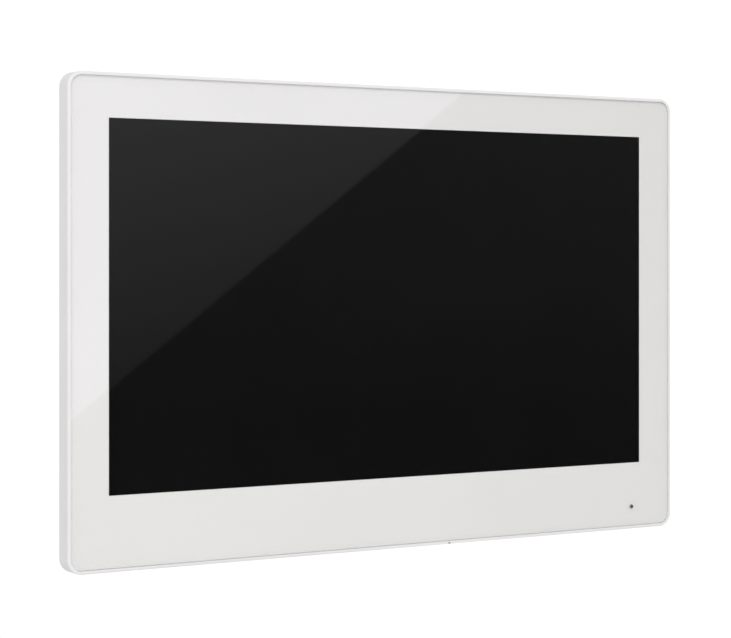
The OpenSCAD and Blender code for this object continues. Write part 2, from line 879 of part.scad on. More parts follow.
// The narrow board in the frame's lower edge, with the microphone and the reset switch
module mic_board() {
    color("darkgreen") difference() {
        block([strip_left, ledge_back, strip_low], [strip_right, strip_back, strip_high]);
        for (x = strip_spots)
            pin(x, (strip_low + strip_high) / 2, 0.85, ledge_back - eps, strip_back + eps);
        pin(mic_x, mic_z, mic_port_d / 2, ledge_back - eps, strip_back + eps);
    }
}

module mic_board_screws() {
    color("silver") for (x = strip_spots)
        screw(x, (strip_low + strip_high) / 2, strip_back, 1.7, 0.8, 0.8, strip_t + 1);
}

module microphone() {
    color("gold") difference() {
        block([mic_x - mic_size[0] / 2, strip_back, mic_z - mic_size[2] / 2],
              [mic_x + mic_size[0] / 2, strip_back + mic_size[1], mic_z + mic_size[2] / 2]);
        pin(mic_x, mic_z, mic_port_d / 2, strip_back - eps, strip_back + 0.4);
    }
}

// Rubber sleeve that leads sound from the glass to the microphone
module mic_boot() {
    color("black") difference() {
        pin(mic_x, mic_z, boot_r, border_back, ledge_back);
        pin(mic_x, mic_z, mic_hole_d / 2, border_back - eps, ledge_back + eps);
    }
}

module mic_lead() {
    low = (strip_low + strip_high) / 2;
    y0 = strip_back;
    y1 = board_back + lead_rise;
    color("lightgray") {
        block([mic_lead_x - mic_lead_w / 2, y0, low],
              [mic_lead_x + mic_lead_w / 2, y0 + lead_t, flex_z + 0.4]);
        block([mic_lead_x - mic_lead_w / 2, y0, flex_z - 0.8],
              [mic_lead_x + mic_lead_w / 2, y1 + lead_t, flex_z + 0.4]);
        block([mic_lead_x - mic_lead_w / 2, y1, flex_z - 0.8],
              [mic_lead_x + mic_lead_w / 2, y1 + lead_t, lead_socket_z + 2.6]);
    }
}

module reset_switch() {
    color("dimgray") difference() {
        block([reset_x - switch_w / 2, strip_back, switch_low],
              [reset_x + switch_w / 2, strip_back + switch_d, switch_low + switch_h]);
        block([reset_x - button_w / 2 - button_play, reset_y - button_d / 2 - button_play,
               switch_low - eps],
              [reset_x + button_w / 2 + button_play, reset_y + button_d / 2 + button_play,
               switch_low + button_in + reset_travel + button_play]);
    }
}

module reset_button() {
    color("black") block([reset_x - button_w / 2, reset_y - button_d / 2, switch_low - button_out],
                         [reset_x + button_w / 2, reset_y + button_d / 2, switch_low + button_in]);
}

// The closed box behind the speaker: its driver fires down through the housing's slots
module speaker_box() {
    shell = speaker_shell;
    color([0.1, 0.1, 0.1]) difference() {
        block([speaker_x - speaker_w / 2, speaker_front, speaker_low],
              [speaker_x + speaker_w / 2, speaker_back, speaker_low + speaker_h]);
        block([speaker_x - speaker_w / 2 + shell, speaker_front + shell, speaker_low + shell],
              [speaker_x + speaker_w / 2 - shell, speaker_back - shell, speaker_low + speaker_h - shell]);
        block([speaker_x - driver_w / 2 - 0.1, speaker_mid_y - driver_d / 2 - 0.1, speaker_low - eps],
              [speaker_x + driver_w / 2 + 0.1, speaker_mid_y + driver_d / 2 + 0.1,
               speaker_low + shell + eps]);
    }
}

module speaker_cone() {
    roll = 1;
    half_w = driver_w / 2 + driver_flange;
    half_d = driver_d / 2 + driver_flange;
    color([0.2, 0.2, 0.22]) difference() {
        union() {
            block([speaker_x - driver_w / 2, speaker_mid_y - driver_d / 2, speaker_low],
                  [speaker_x + driver_w / 2, speaker_mid_y + driver_d / 2, speaker_low + driver_h]);
            block([speaker_x - half_w, speaker_mid_y - half_d, speaker_low + speaker_shell],
                  [speaker_x + half_w, speaker_mid_y + half_d,
                   speaker_low + speaker_shell + driver_flange_t]);
        }
        block([speaker_x - driver_w / 2 + roll, speaker_mid_y - driver_d / 2 + roll,
               speaker_low - eps],
              [speaker_x + driver_w / 2 - roll, speaker_mid_y + driver_d / 2 - roll,
               speaker_low + 0.8]);
    }
}

module speaker_seal() {
    ring = 0.6;
    color([0.15, 0.15, 0.15]) difference() {
        block([speaker_x - speaker_w / 2 + 1, speaker_front + 0.5, -cavity_h / 2],
              [speaker_x + speaker_w / 2 - 1, speaker_back - 0.5, speaker_low]);
        block([speaker_x - driver_w / 2 - ring, speaker_mid_y - driver_d / 2 - ring,
               -cavity_h / 2 - eps],
              [speaker_x + driver_w / 2 + ring, speaker_mid_y + driver_d / 2 + ring,
               speaker_low + eps]);
    }
}

module speaker_lead() {
    y1 = board_back + lead_rise;
    color("firebrick") block([speaker_lead_x - speaker_lead_w / 2, y1, speaker_low + speaker_h],
                             [speaker_lead_x + speaker_lead_w / 2, y1 + lead_t, lead_socket_z + 2.6]);
}

// Slots through the housing's top or bottom wall, from x0 to x1
module wall_slots(x0, x1, side) {
    total = floor((x1 - x0) / vent_pitch);
    for (i = [0 : total]) {
        x = (x0 + x1) / 2 + (i - total / 2) * vent_pitch;
        z = side * (housing_h - housing_wall) / 2;
        block([x - vent_w / 2, joint_y + 3.5, z - housing_wall],
              [x + vent_w / 2, back_y - 4, z + housing_wall]);
    }
}

module rear_cover() {
    slot_play = 0.5;
    slot_h = bracket_t + lift_travel + 0.3;
    back_slots = 13;
    back_slot_w = 16;
    back_slot_x = (recess_w / 2 + cavity_w / 2) / 2;
    pad_x = housing_w / 2 - 14;
    pad_z = housing_h / 2 - 14;
    color("white") difference() {
        union() {
            difference() {
                union() {
                    upright(joint_y - flange_t, joint_y)
                        rounded(frame_inner_w - 2 * flange_gap, frame_inner_h - 2 * flange_gap,
                                frame_inner_r - flange_gap);
                    upright(joint_y - eps, back_y) rounded(housing_w, housing_h, housing_r);
                }
                upright(joint_y - flange_t - eps, back_y - housing_wall)
                    rounded(cavity_w, cavity_h, cavity_r);
            }
            block([-recess_w / 2 - housing_wall, recess_front, recess_low - housing_wall],
                  [recess_w / 2 + housing_wall, back_y - eps, recess_high + housing_wall]);
            for (spot = chassis_spots)
                pin(spot[0], spot[1], chassis_post_r, joint_y, back_y - housing_wall + eps);
            block([-bay_w / 2 - collar_t, board_back + collar_gap, bay_low - collar_t],
                  [bay_w / 2 + collar_t, recess_front + eps, bay_top + collar_t]);
        }
        block([-recess_w / 2, recess_back, recess_low], [recess_w / 2, back_y + 1, recess_high]);
        block([-bay_w / 2, joint_y, bay_low], [bay_w / 2, back_y + 1, bay_top]);
        for (side = [-1, 1], z = [hook_top_z, hook_low_z])
            block([side * hook_x - hook_w / 2 - slot_play, recess_front - eps, z - slot_h],
                  [side * hook_x + hook_w / 2 + slot_play, recess_back + eps, z]);
        for (spot = chassis_spots)
            pin(spot[0], spot[1], chassis_shank_r + thread_play, joint_y - eps,
                joint_y + chassis_shank_l);
        for (spot = case_spots) {
            pin(spot[0], spot[1], case_shank_r + 0.2, joint_y - flange_t - eps, joint_y + eps);
            pin(spot[0], spot[1], case_head_r + 0.2, joint_y - case_sink, joint_y + eps);
        }
        wall_slots(-68, 68, 1);
        wall_slots(-92, -28, -1);
        wall_slots(speaker_x - driver_w / 2 + 1, speaker_x + driver_w / 2 - 1, -1);
        for (side = [-1, 1], i = [0 : back_slots - 1]) {
            z = (i - (back_slots - 1) / 2) * vent_pitch;
            block([side * back_slot_x - back_slot_w / 2, back_y - housing_wall - eps, z - vent_w / 2],
                  [side * back_slot_x + back_slot_w / 2, back_y + eps, z + vent_w / 2]);
        }
        for (side = [-1, 1], rise = [-1, 1])
            pin(side * pad_x, rise * pad_z, pad_r + 0.1, back_y - pad_sink, back_y + eps);
    }
}

pad_r = 4.5;
pad_sink = 0.6;
module wall_pads() {
    pad_x = housing_w / 2 - 14;
    pad_z = housing_h / 2 - 14;
    color("lightgray") for (side = [-1, 1], rise = [-1, 1])
        pin(side * pad_x, rise * pad_z, pad_r, back_y - pad_sink, 0);
}

module case_screws() {
    shank_l = flange_t - case_sink + (joint_y - flange_t) - (ledge_front + 0.8);
    color("silver") for (spot = case_spots)
        screw(spot[0], spot[1], joint_y - case_sink, case_head_r, case_head_h, case_shank_r, shank_l);
}

// The pressed steel bracket: four hooks are cut from the plate and bent to the front
module wall_bracket() {
    corner = 4;
    opening_r = 3;
    lip_back = recess_front - bracket_gap;
    lip_front = lip_back - bracket_t;
    window_h = -bracket_t - lip_front + hook_lip;
    side_play = 1;
    color("gainsboro") {
        difference() {
            upright(-bracket_t, 0) difference() {
                rounded(bracket_w, bracket_h, corner);
                rounded(opening_w, opening_h, opening_r);
            }
            for (sx = [-1, 1], sz = [-1, 1])
                pin(sx * wall_hole_dx / 2, sz * wall_hole_dz / 2, wall_hole_d / 2,
                    -bracket_t - eps, eps);
            for (sx = [-1, 1])
                pin(sx * box_hole_dx / 2, 0, box_hole_d / 2, -bracket_t - eps, eps);
            for (sx = [-1, 1], z = [hook_top_z, hook_low_z])
                block([sx * hook_x - hook_w / 2 - side_play, -bracket_t - eps, z],
                      [sx * hook_x + hook_w / 2 + side_play, eps, z + window_h]);
        }
        for (sx = [-1, 1], z = [hook_top_z, hook_low_z]) {
            block([sx * hook_x - hook_w / 2, lip_front, z - bracket_t],
                  [sx * hook_x + hook_w / 2, -bracket_t + eps, z]);
            block([sx * hook_x - hook_w / 2, lip_front, z - bracket_t],
                  [sx * hook_x + hook_w / 2, lip_back, z + hook_lip]);
        }
    }
}

cover_glass();
border_print();
glass_adhesive();
touch_sensor();
touch_flex();
front_frame();
display_foam();
display_bezel();
display_cell();
optical_films();
light_guide();
led_strip();
reflector_sheet();
display_mould();
display_tray();
display_flex();
display_pads();
chassis_plate();
chassis_screws();
board_posts();
main_board();
board_screws();
processor();
memory_chips();
thermal_pad();
shield_can();
power_coils();
capacitors();
network_transformer();
control_chips();
clock_cell();
clock_cell_holder();
flex_sockets();
lead_sockets();
jack_shell();
jack_insert();
jack_contacts();
terminal_header();
header_pins();
terminal_plug();
plug_screws();
mic_board();
mic_board_screws();
microphone();
mic_boot();
mic_lead();
reset_switch();
reset_button();
speaker_box();
speaker_cone();
speaker_seal();
speaker_lead();
rear_cover();
case_screws();
wall_pads();
wall_bracket();
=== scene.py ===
import json
import math

import bmesh
import bpy
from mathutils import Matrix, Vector


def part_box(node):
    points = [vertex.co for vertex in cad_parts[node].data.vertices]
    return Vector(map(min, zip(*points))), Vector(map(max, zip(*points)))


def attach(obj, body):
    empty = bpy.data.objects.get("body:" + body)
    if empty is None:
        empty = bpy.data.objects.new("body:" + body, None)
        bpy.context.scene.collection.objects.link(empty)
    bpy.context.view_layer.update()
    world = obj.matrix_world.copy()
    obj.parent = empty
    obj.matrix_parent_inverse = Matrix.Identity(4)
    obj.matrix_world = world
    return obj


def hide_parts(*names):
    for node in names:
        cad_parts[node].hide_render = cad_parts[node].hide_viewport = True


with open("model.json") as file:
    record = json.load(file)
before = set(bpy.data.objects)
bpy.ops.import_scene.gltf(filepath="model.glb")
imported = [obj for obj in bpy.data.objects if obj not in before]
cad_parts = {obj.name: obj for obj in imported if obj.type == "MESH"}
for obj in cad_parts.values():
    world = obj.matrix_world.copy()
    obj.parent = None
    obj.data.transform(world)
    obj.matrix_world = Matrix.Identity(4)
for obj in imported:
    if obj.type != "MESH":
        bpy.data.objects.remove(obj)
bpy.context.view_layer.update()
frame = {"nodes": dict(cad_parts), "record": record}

# ---------------------------------------------------------------- shared values and small helpers

MM = 0.001

# Points this close are one point, in metres, and lengths this close are one length, in millimetres
WELD = 1e-6
SLACK = 0.02

# Faces that meet within the first angle are one flat face. Past the second their edge may be rounded,
# and past the third it is shaded as an edge
FLAT = math.radians(0.5)
SHARP = math.radians(25)
CREASE = math.radians(40)

# Nodes that are used often, and the places of sockets that share one name
MATH = "ShaderNodeMath"
VECTOR_MATH = "ShaderNodeVectorMath"
MAP_RANGE = "ShaderNodeMapRange"
SPLIT = "ShaderNodeSeparateXYZ"
JOIN = "ShaderNodeCombineXYZ"
TRANSFORM = "GeometryNodeTransform"
NUMBER_A, NUMBER_B = 2, 3
COLOUR_A, COLOUR_B, COLOUR_OUT = 6, 7, 2
RANDOM_LOW, RANDOM_HIGH, RANDOM_OUT = 2, 3, 1

WHITE = (1.0, 1.0, 1.0, 1.0)

scene = bpy.context.scene


def linear(code):
    """A colour's sRGB hex value as linear light, with an alpha of one."""
    parts = [int(code[i:i + 2], 16) / 255 for i in (1, 3, 5)]
    return [c / 12.92 if c <= 0.04045 else ((c + 0.055) / 1.055) ** 2.4 for c in parts] + [1.0]


def add(tree, kind, inputs=None, **settings):
    """Add a node: its settings are set, its inputs are given values or linked to other nodes' outputs."""
    made = tree.nodes.new(kind)
    for name, value in settings.items():
        setattr(made, name, value)
    for name, value in (inputs or {}).items():
        if isinstance(value, bpy.types.NodeSocket):
            tree.links.new(value, made.inputs[name])
        else:
            made.inputs[name].default_value = value
    return made


def near(a, b):
    """Whether two lengths in millimetres are the same but for rounding."""
    return abs(a - b) < SLACK


# ---------------------------------------------------------------- finishes

# A soft random pattern has nearly all of its values in its middle part
MIDDLE = (0.35, 0.65)
WHOLE = (0, 1)

# The wave texture's bands are this far apart at a scale of one
BAND = 2 * math.pi / 20


def finish(name, colour, roughness, values=None):
    """Start a finish from its even values. Gives its material, tree, shader and the place on the piece."""
    made = bpy.data.materials.new(name)
    made.use_nodes = True
    tree = made.node_tree
    shader = tree.nodes["Principled BSDF"]
    shader.inputs["Base Color"].default_value = linear(colour)
    shader.inputs["Roughness"].default_value = roughness
    for socket, value in (values or {}).items():
        shader.inputs[socket].default_value = value
    place = add(tree, "ShaderNodeTexCoord").outputs["Object"]
    return made, tree, shader, place


def patches(tree, place, size, detail=2.0):
    """Soft random patches about this many millimetres across, from 0 to 1."""
    inputs = {"Vector": place, "Scale": 1 / (size * MM), "Detail": detail, "Roughness": 0.55}
    return add(tree, "ShaderNodeTexNoise", inputs).outputs["Fac"]


def tones(tree, shader, pattern, first, second, part=MIDDLE):
    """Colour the surface with two tones, mixed over this part of a pattern's range."""
    share = add(tree, MAP_RANGE, {"Value": pattern, "From Min": part[0], "From Max": part[1]})
    inputs = {"Factor": share.outputs["Result"], COLOUR_A: linear(first), COLOUR_B: linear(second)}
    mixed = add(tree, "ShaderNodeMix", inputs, data_type="RGBA")
    tree.links.new(mixed.outputs[COLOUR_OUT], shader.inputs["Base Color"])


def gloss(tree, shader, pattern, low, high, part=MIDDLE):
    """Let the roughness run from low to high over this part of a pattern's range."""
    share = add(tree, MAP_RANGE, {
        "Value": pattern, "From Min": part[0], "From Max": part[1], "To Min": low, "To Max": high})
    tree.links.new(share.outputs["Result"], shader.inputs["Roughness"])


def relief(tree, shader, height, depth):
    """Raise the surface by a pattern, this many millimetres at most."""
    bump = add(tree, "ShaderNodeBump", {"Height": height, "Distance": depth * MM, "Strength": 1.0})
    tree.links.new(bump.outputs["Normal"], shader.inputs["Normal"])


def moulded_plastic(name, colour, shade, roughness, grain, depth, values=None):
    """A moulded plastic: a tool grain of this size and depth, and gloss that wanders a little."""
    made, tree, shader, place = finish(name, colour, roughness, {"IOR": 1.53, **(values or {})})
    tones(tree, shader, patches(tree, place, 24), colour, shade)
    gloss(tree, shader, patches(tree, place, 9), roughness - 0.04, roughness + 0.05)
    relief(tree, shader, patches(tree, place, grain, 3), depth)
    return made


def rolled_metal(name, colour, shade, roughness, way, line=0.35, depth=0.004):
    """A rolled or drawn metal: fine lines along the axes of smaller scale, and gloss that follows them."""
    made, tree, shader, place = finish(name, colour, roughness, {"Metallic": 1.0})
    along = add(tree, "ShaderNodeMapping", {"Vector": place, "Scale": way}).outputs["Vector"]
    lines = patches(tree, along, line, 4)
    tones(tree, shader, patches(tree, place, 12), colour, shade)
    gloss(tree, shader, lines, roughness - 0.08, roughness + 0.10)
    relief(tree, shader, lines, depth)
    return made


def plated_metal(name, colour, shade, roughness):
    """A small plated part: bright, with a faint cloud from the bath and pin-prick pits."""
    made, tree, shader, place = finish(name, colour, roughness, {"Metallic": 1.0})
    tones(tree, shader, patches(tree, place, 1.6), colour, shade)
    gloss(tree, shader, patches(tree, place, 0.9, 3), roughness - 0.06, roughness + 0.10)
    relief(tree, shader, patches(tree, place, 0.25, 2), 0.006)
    return made


# Polished ABS for the front: a satin white with soft highlights along its rounded rim
def satin_abs():
    return moulded_plastic("satin_moulded_abs", "#E9E7E8", "#E6E4E5", 0.32, 0.7, 0.004)


# Painted shade in the nick over the reset hole: a dull grey with a fine grain on the nick's inner faces,
# standing for the shade inside the nick
def nick_painted_shade():
    return moulded_plastic("nick_painted_shade_grey", "#77787A", "#6E6F71", 0.6, 0.2, 0.01)


# Spark-eroded ABS for the back: a matt white with an even sandy grain. The real grain is 0.15 mm and
# is drawn at 0.5 mm so that it shows
def sparked_abs():
    return moulded_plastic("spark_eroded_abs", "#E7E6E5", "#E2E1E0", 0.52, 0.5, 0.035)


# Black ABS for the speaker box: dull, with a slight sheen on the edges
def black_abs():
    return moulded_plastic("black_moulded_abs", "#17181A", "#202124", 0.45, 0.5, 0.012)


# Float glass, tempered and polished: clear and sharp, with the faint waviness that tempering leaves
def tempered_glass():
    made, tree, shader, place = finish(
        "tempered_float_glass", "#FEFEFE", 0.0, {"IOR": 1.52, "Transmission Weight": 1.0})
    relief(tree, shader, patches(tree, place, 60, 0), 0.004)
    ray = add(tree, "ShaderNodeLightPath")
    clear = add(tree, "ShaderNodeBsdfTransparent", {"Color": linear("#FEFEFE")})
    to_lamps = add(tree, "ShaderNodeMixShader", {
        0: ray.outputs["Is Shadow Ray"], 1: shader.outputs["BSDF"], 2: clear.outputs["BSDF"]})
    to_rest = add(tree, "ShaderNodeMixShader", {
        0: ray.outputs["Is Diffuse Ray"], 1: to_lamps.outputs["Shader"], 2: clear.outputs["BSDF"]})
    tree.links.new(to_rest.outputs["Shader"], tree.nodes["Material Output"].inputs["Surface"])
    return made


# The glass's ground and seamed edge: a fine frosted white band round the pane
def ground_edge():
    made, tree, shader, place = finish("ground_glass_edge", "#EDEFEE", 0.55, {"IOR": 1.52})
    tones(tree, shader, patches(tree, place, 3), "#EDEFEE", "#E6E9E8")
    relief(tree, shader, patches(tree, place, 0.15, 3), 0.01)
    return made


# White ceramic ink screen-printed on the glass: dense and even, with the faint weave of the screen
def printed_ink():
    made, tree, shader, place = finish("screen_printed_white_ink", "#E9E8E6", 0.5)
    weave = add(tree, "ShaderNodeTexChecker", {"Vector": place, "Scale": 1 / (0.4 * MM)})
    tones(tree, shader, patches(tree, place, 60), "#E9E8E6", "#E7E6E4")
    relief(tree, shader, weave.outputs["Fac"], 0.002)
    return made


# Dark polarising film laminated to the sensor: a neutral, deep black that the glass gives its gloss
def polarising_film():
    made, tree, shader, place = finish("polarising_film", "#060607", 0.42, {"Specular IOR Level": 0.03})
    tones(tree, shader, patches(tree, place, 40), "#060607", "#080809")
    gloss(tree, shader, patches(tree, place, 18), 0.38, 0.46)
    return made


# Liquid crystal cell between two glass plates: black while it is off
def crystal_cell():
    made, tree, shader, place = finish("liquid_crystal_glass", "#08080A", 0.12, {"IOR": 1.52})
    tones(tree, shader, patches(tree, place, 30), "#08080A", "#0B0B0E")
    gloss(tree, shader, patches(tree, place, 20), 0.08, 0.16)
    return made


# Acrylic foam tape: dull grey, with tiny cells
def acrylic_tape():
    return moulded_plastic("acrylic_foam_tape", "#4A4B4D", "#3F4042", 0.8, 0.3, 0.02)


# Closed-cell foam: soft black with open pores on its cut edges
def cell_foam():
    made, tree, shader, place = finish("closed_cell_foam", "#1B1B1C", 0.9)
    pores = add(tree, "ShaderNodeTexVoronoi", {"Vector": place, "Scale": 1 / (0.6 * MM)})
    tones(tree, shader, pores.outputs["Distance"], "#101011", "#262628", WHOLE)
    relief(tree, shader, pores.outputs["Distance"], 0.15)
    return made


# Polyimide film with copper tracks: amber, with a paler line for each track. Real tracks are 0.3 mm apart
# and are drawn 2 mm apart so that they show
def polyimide_flex():
    track_pitch = 1.98
    made, tree, shader, place = finish("polyimide_flex_circuit", "#B5671C", 0.35, {"IOR": 1.6})
    tracks = add(tree, "ShaderNodeTexWave", {"Vector": place, "Scale": BAND / (track_pitch * MM)},
                 bands_direction="X")
    tones(tree, shader, tracks.outputs["Fac"], "#A85C17", "#C9812E", (0.4, 0.6))
    relief(tree, shader, tracks.outputs["Fac"], 0.02)
    return made


# Diffuser and prism films: a milky white with a silky sheen
def diffuser_film():
    return moulded_plastic("diffuser_film", "#F4F6F8", "#EAEDF0", 0.4, 0.2, 0.004)


# Cast acrylic light guide: pale and glossy with a printed dot grid on its back
def acrylic_guide():
    made, tree, shader, place = finish("acrylic_light_guide", "#E6EEF2", 0.12, {"IOR": 1.49})
    dots = add(tree, "ShaderNodeTexVoronoi", {"Vector": place, "Scale": 1 / (1.5 * MM), "Randomness": 0.0})
    tones(tree, shader, dots.outputs["Distance"], "#FFFFFF", "#DDE7EC", (0.2, 0.3))
    gloss(tree, shader, patches(tree, place, 20), 0.08, 0.16)
    return made


# White LED packages: yellow phosphor in a pale body
def led_phosphor():
    made, tree, shader, place = finish("led_phosphor", "#E8C53A", 0.45)
    tones(tree, shader, patches(tree, place, 1.2), "#EBCB45", "#DDB42A")
    relief(tree, shader, patches(tree, place, 0.2), 0.01)
    return made


# Foamed polyester reflector: a bright, chalky white
def reflector_sheet():
    return moulded_plastic("foamed_polyester_sheet", "#F6F6F4", "#EFEFED", 0.6, 0.4, 0.01)


# White polycarbonate inner frame: slightly warm and satin
def white_polycarbonate():
    return moulded_plastic("white_polycarbonate", "#EDECE6", "#E5E4DE", 0.42, 0.6, 0.01)


# Stainless sheet of the display module: brushed along its length
def stainless_sheet():
    return rolled_metal("brushed_stainless_sheet", "#B9BBBD", "#A7A9AC", 0.34, (0.04, 1, 1))


# Hot-dip galvanised sheet: a grey patchwork of crystals, each with its own gloss
def galvanised_sheet():
    made, tree, shader, place = finish("hot_dip_galvanised_sheet", "#B4B8BB", 0.4, {"Metallic": 1.0})
    crystals = add(tree, "ShaderNodeTexVoronoi", {"Vector": place, "Scale": 1 / (3.2 * MM)})
    shade = add(tree, "ShaderNodeSeparateColor", {"Color": crystals.outputs["Color"]})
    tones(tree, shader, shade.outputs["Red"], "#B1B5B8", "#BDC1C4", WHOLE)
    gloss(tree, shader, shade.outputs["Green"], 0.36, 0.50, WHOLE)
    relief(tree, shader, patches(tree, place, 1.1, 4), 0.012)
    return made


# Zinc-plated steel screws: bright blue-white plate
def zinc_plate():
    return plated_metal("zinc_plated_steel", "#C3C8CE", "#AEB4BB", 0.28)


# Tinned steel of the socket's shell, the shield can and the pins: soft silver
def tin_plate():
    return rolled_metal("tin_plated_steel", "#CFCFCB", "#C5C5C1", 0.30, (0.08, 1, 1), 0.3, 0.0015)


# Turned brass posts: yellow metal with the lathe's fine rings
def turned_brass():
    return rolled_metal("turned_brass", "#C9A14A", "#B98F3C", 0.28, (1, 12, 1))


# Gold flash over nickel on the contacts: warm and very smooth
def gold_flash():
    return plated_metal("gold_flashed_contacts", "#D9AE52", "#C99B3F", 0.18)


# Nickel-plated steel of the coin cell: bright, brushed on its flat
def nickel_plate():
    return rolled_metal("nickel_plated_steel", "#C2BEB4", "#B0ACA2", 0.25, (1, 1, 0.1))


# Drawn aluminium can of the capacitors, clouded by its sleeve
def aluminium_can():
    return rolled_metal("drawn_aluminium_can", "#B9BCC0", "#9EA2A7", 0.36, (1, 0.1, 1))


# Glass-epoxy board under green solder mask: tracks 0.6 mm wide run under it and stand up a little, up or
# across in areas about 9 mm wide
def masked_board():
    track_pitch, area = 1.57, 9
    made, tree, shader, place = finish("green_masked_glass_epoxy", "#0E4A2B", 0.3, {"IOR": 1.5})
    areas = add(tree, "ShaderNodeTexVoronoi", {"Vector": place, "Scale": 1 / (area * MM)},
                distance="CHEBYCHEV")
    split = add(tree, "ShaderNodeSeparateColor", {"Color": areas.outputs["Color"]})
    bands = {"Vector": place, "Scale": BAND / (track_pitch * MM)}
    upward = add(tree, "ShaderNodeTexWave", bands, bands_direction="X")
    across = add(tree, "ShaderNodeTexWave", bands, bands_direction="Z")
    chosen = add(tree, MATH, {0: split.outputs["Red"], 1: 0.5}, operation="GREATER_THAN")
    tracks = add(tree, "ShaderNodeMix", {
        "Factor": chosen.outputs[0], NUMBER_A: upward.outputs["Fac"], NUMBER_B: across.outputs["Fac"]})
    edges = {"Value": tracks.outputs[0], "From Min": 0.6, "From Max": 0.75}
    raised = add(tree, MAP_RANGE, edges).outputs["Result"]
    tones(tree, shader, raised, "#0E4529", "#155A35", WHOLE)
    relief(tree, shader, raised, 0.035)
    return made


# Epoxy chip packages: matt charcoal from the mould's fine blast
def moulded_epoxy():
    return moulded_plastic("moulded_epoxy", "#1E1F21", "#27282A", 0.55, 0.25, 0.01)


# Filled silicone pad: soft blue-grey and dull
def silicone_pad():
    return moulded_plastic("filled_silicone_pad", "#7FA3B8", "#7599AE", 0.75, 0.4, 0.03)


# Pressed ferrite: dark grey ceramic with a dry surface
def pressed_ferrite():
    return moulded_plastic("pressed_ferrite", "#33353A", "#2A2C30", 0.6, 0.3, 0.03)


# Ivory nylon of the board's sockets: waxy, slightly see-through
def ivory_nylon():
    values = {"Subsurface Weight": 0.08, "Subsurface Scale": 0.001}
    return moulded_plastic("ivory_nylon", "#E6DFC8", "#DDD5BC", 0.42, 0.4, 0.01, values)


# Black glass-filled polyester of the connectors: satin with pale fibre flecks
def black_polyester():
    return moulded_plastic("black_glass_filled_polyester", "#141516", "#1F2022", 0.4, 0.3, 0.012)


# Green polyamide of the terminal block: strong green, satin
def green_polyamide():
    return moulded_plastic("green_polyamide", "#2E8B4A", "#277D41", 0.38, 0.4, 0.01)


# Moulded silicone rubber of the sleeve: black and matt
def black_rubber():
    return moulded_plastic("moulded_silicone_rubber", "#131313", "#1B1B1B", 0.7, 0.4, 0.02)


# Soft grey elastomer of the wall pads: matt with a dusty bloom
def pad_rubber():
    return moulded_plastic("grey_elastomer", "#A3A4A5", "#98999A", 0.75, 0.5, 0.03)


# PVC sheath of the inner leads: smooth, slightly shiny plastic
def lead_sheath():
    return moulded_plastic("pvc_sheath", "#C9C9C7", "#BEBEBC", 0.35, 0.6, 0.01)


# Treated paper cone: dark fibres with a dull coat
def paper_cone():
    return moulded_plastic("treated_paper_cone", "#232326", "#2F2F33", 0.7, 0.35, 0.05)


FINISHES = {
    "frame_plastic": satin_abs,
    "housing_plastic": sparked_abs,
    "cover_glass": tempered_glass,
    "border_print": printed_ink,
    "touch_film": polarising_film,
    "display_black": crystal_cell,
    "adhesive": acrylic_tape,
    "foam": cell_foam,
    "flex_film": polyimide_flex,
    "optical_film": diffuser_film,
    "light_guide": acrylic_guide,
    "led_yellow": led_phosphor,
    "reflector": reflector_sheet,
    "mould_white": white_polycarbonate,
    "display_steel": stainless_sheet,
    "chassis_steel": galvanised_sheet,
    "bracket_steel": galvanised_sheet,
    "screw_steel": zinc_plate,
    "tinned_shell": tin_plate,
    "pin_tin": tin_plate,
    "brass": turned_brass,
    "gold_contact": gold_flash,
    "cell_steel": nickel_plate,
    "capacitor_can": aluminium_can,
    "board_green": masked_board,
    "chip_black": moulded_epoxy,
    "thermal_pad": silicone_pad,
    "ferrite": pressed_ferrite,
    "socket_ivory": ivory_nylon,
    "connector_black": black_polyester,
    "terminal_green": green_polyamide,
    "rubber_black": black_rubber,
    "pad_rubber": pad_rubber,
    "lead_sheath": lead_sheath,
    "speaker_paper": paper_cone,
    "speaker_black": black_abs,
}
finishes = {make: make() for make in dict.fromkeys(FINISHES.values())}
slot_of = {row["node"]: row["material_slot"] for row in frame["record"]["subparts"]}
finish_of = {name: finishes[FINISHES[its_slot]] for name, its_slot in slot_of.items()}
for name, cad in frame["nodes"].items():
    for material_slot in cad.material_slots:
        material_slot.material = finish_of[name]


# ---------------------------------------------------------------- shells: the designed shape, edges rounded

def clean_copy(node):
    """A node's mesh with its triangles joined back into flat faces."""
    mesh = bmesh.new()
    mesh.from_mesh(frame["nodes"][node].data)
    bmesh.ops.remove_doubles(mesh, verts=mesh.verts, dist=WELD)
    bmesh.ops.dissolve_limit(mesh, angle_limit=FLAT, verts=mesh.verts, edges=mesh.edges)
    return mesh


def round_edges(mesh, radius, test, segments=3):
    """Round the sharp edges whose two ends both pass the test, which is given a point in millimetres."""
    chosen = [
        edge for edge in mesh.edges
        if len(edge.link_faces) == 2 and edge.calc_face_angle(0) > SHARP
        and all(test(*(end.co / MM)) for end in edge.verts)
    ]
    bmesh.ops.bevel(mesh, geom=chosen, offset=radius * MM, offset_type="OFFSET", segments=segments,
                    profile=0.5, affect="EDGES", clamp_overlap=False)


def inset(x, z, width, height, radius):
    """How far a point lies inside a rectangle with round corners, in millimetres."""
    across = abs(x) - (width / 2 - radius)
    up = abs(z) - (height / 2 - radius)
    return radius - math.hypot(max(across, 0), max(up, 0)) - min(max(across, up), 0)


def widen(mesh, width, height, radius, by):
    """Move a round-cornered outline outwards by this many millimetres."""
    for point in mesh.verts:
        x, z = point.co.x / MM, point.co.z / MM
        if not near(inset(x, z, width, height, radius), 0):
            continue
        across = max(abs(x) - (width / 2 - radius), 0)
        up = max(abs(z) - (height / 2 - radius), 0)
        reach = math.hypot(across, up)
        point.co.x += math.copysign(across / reach * by * MM, x)
        point.co.z += math.copysign(up / reach * by * MM, z)


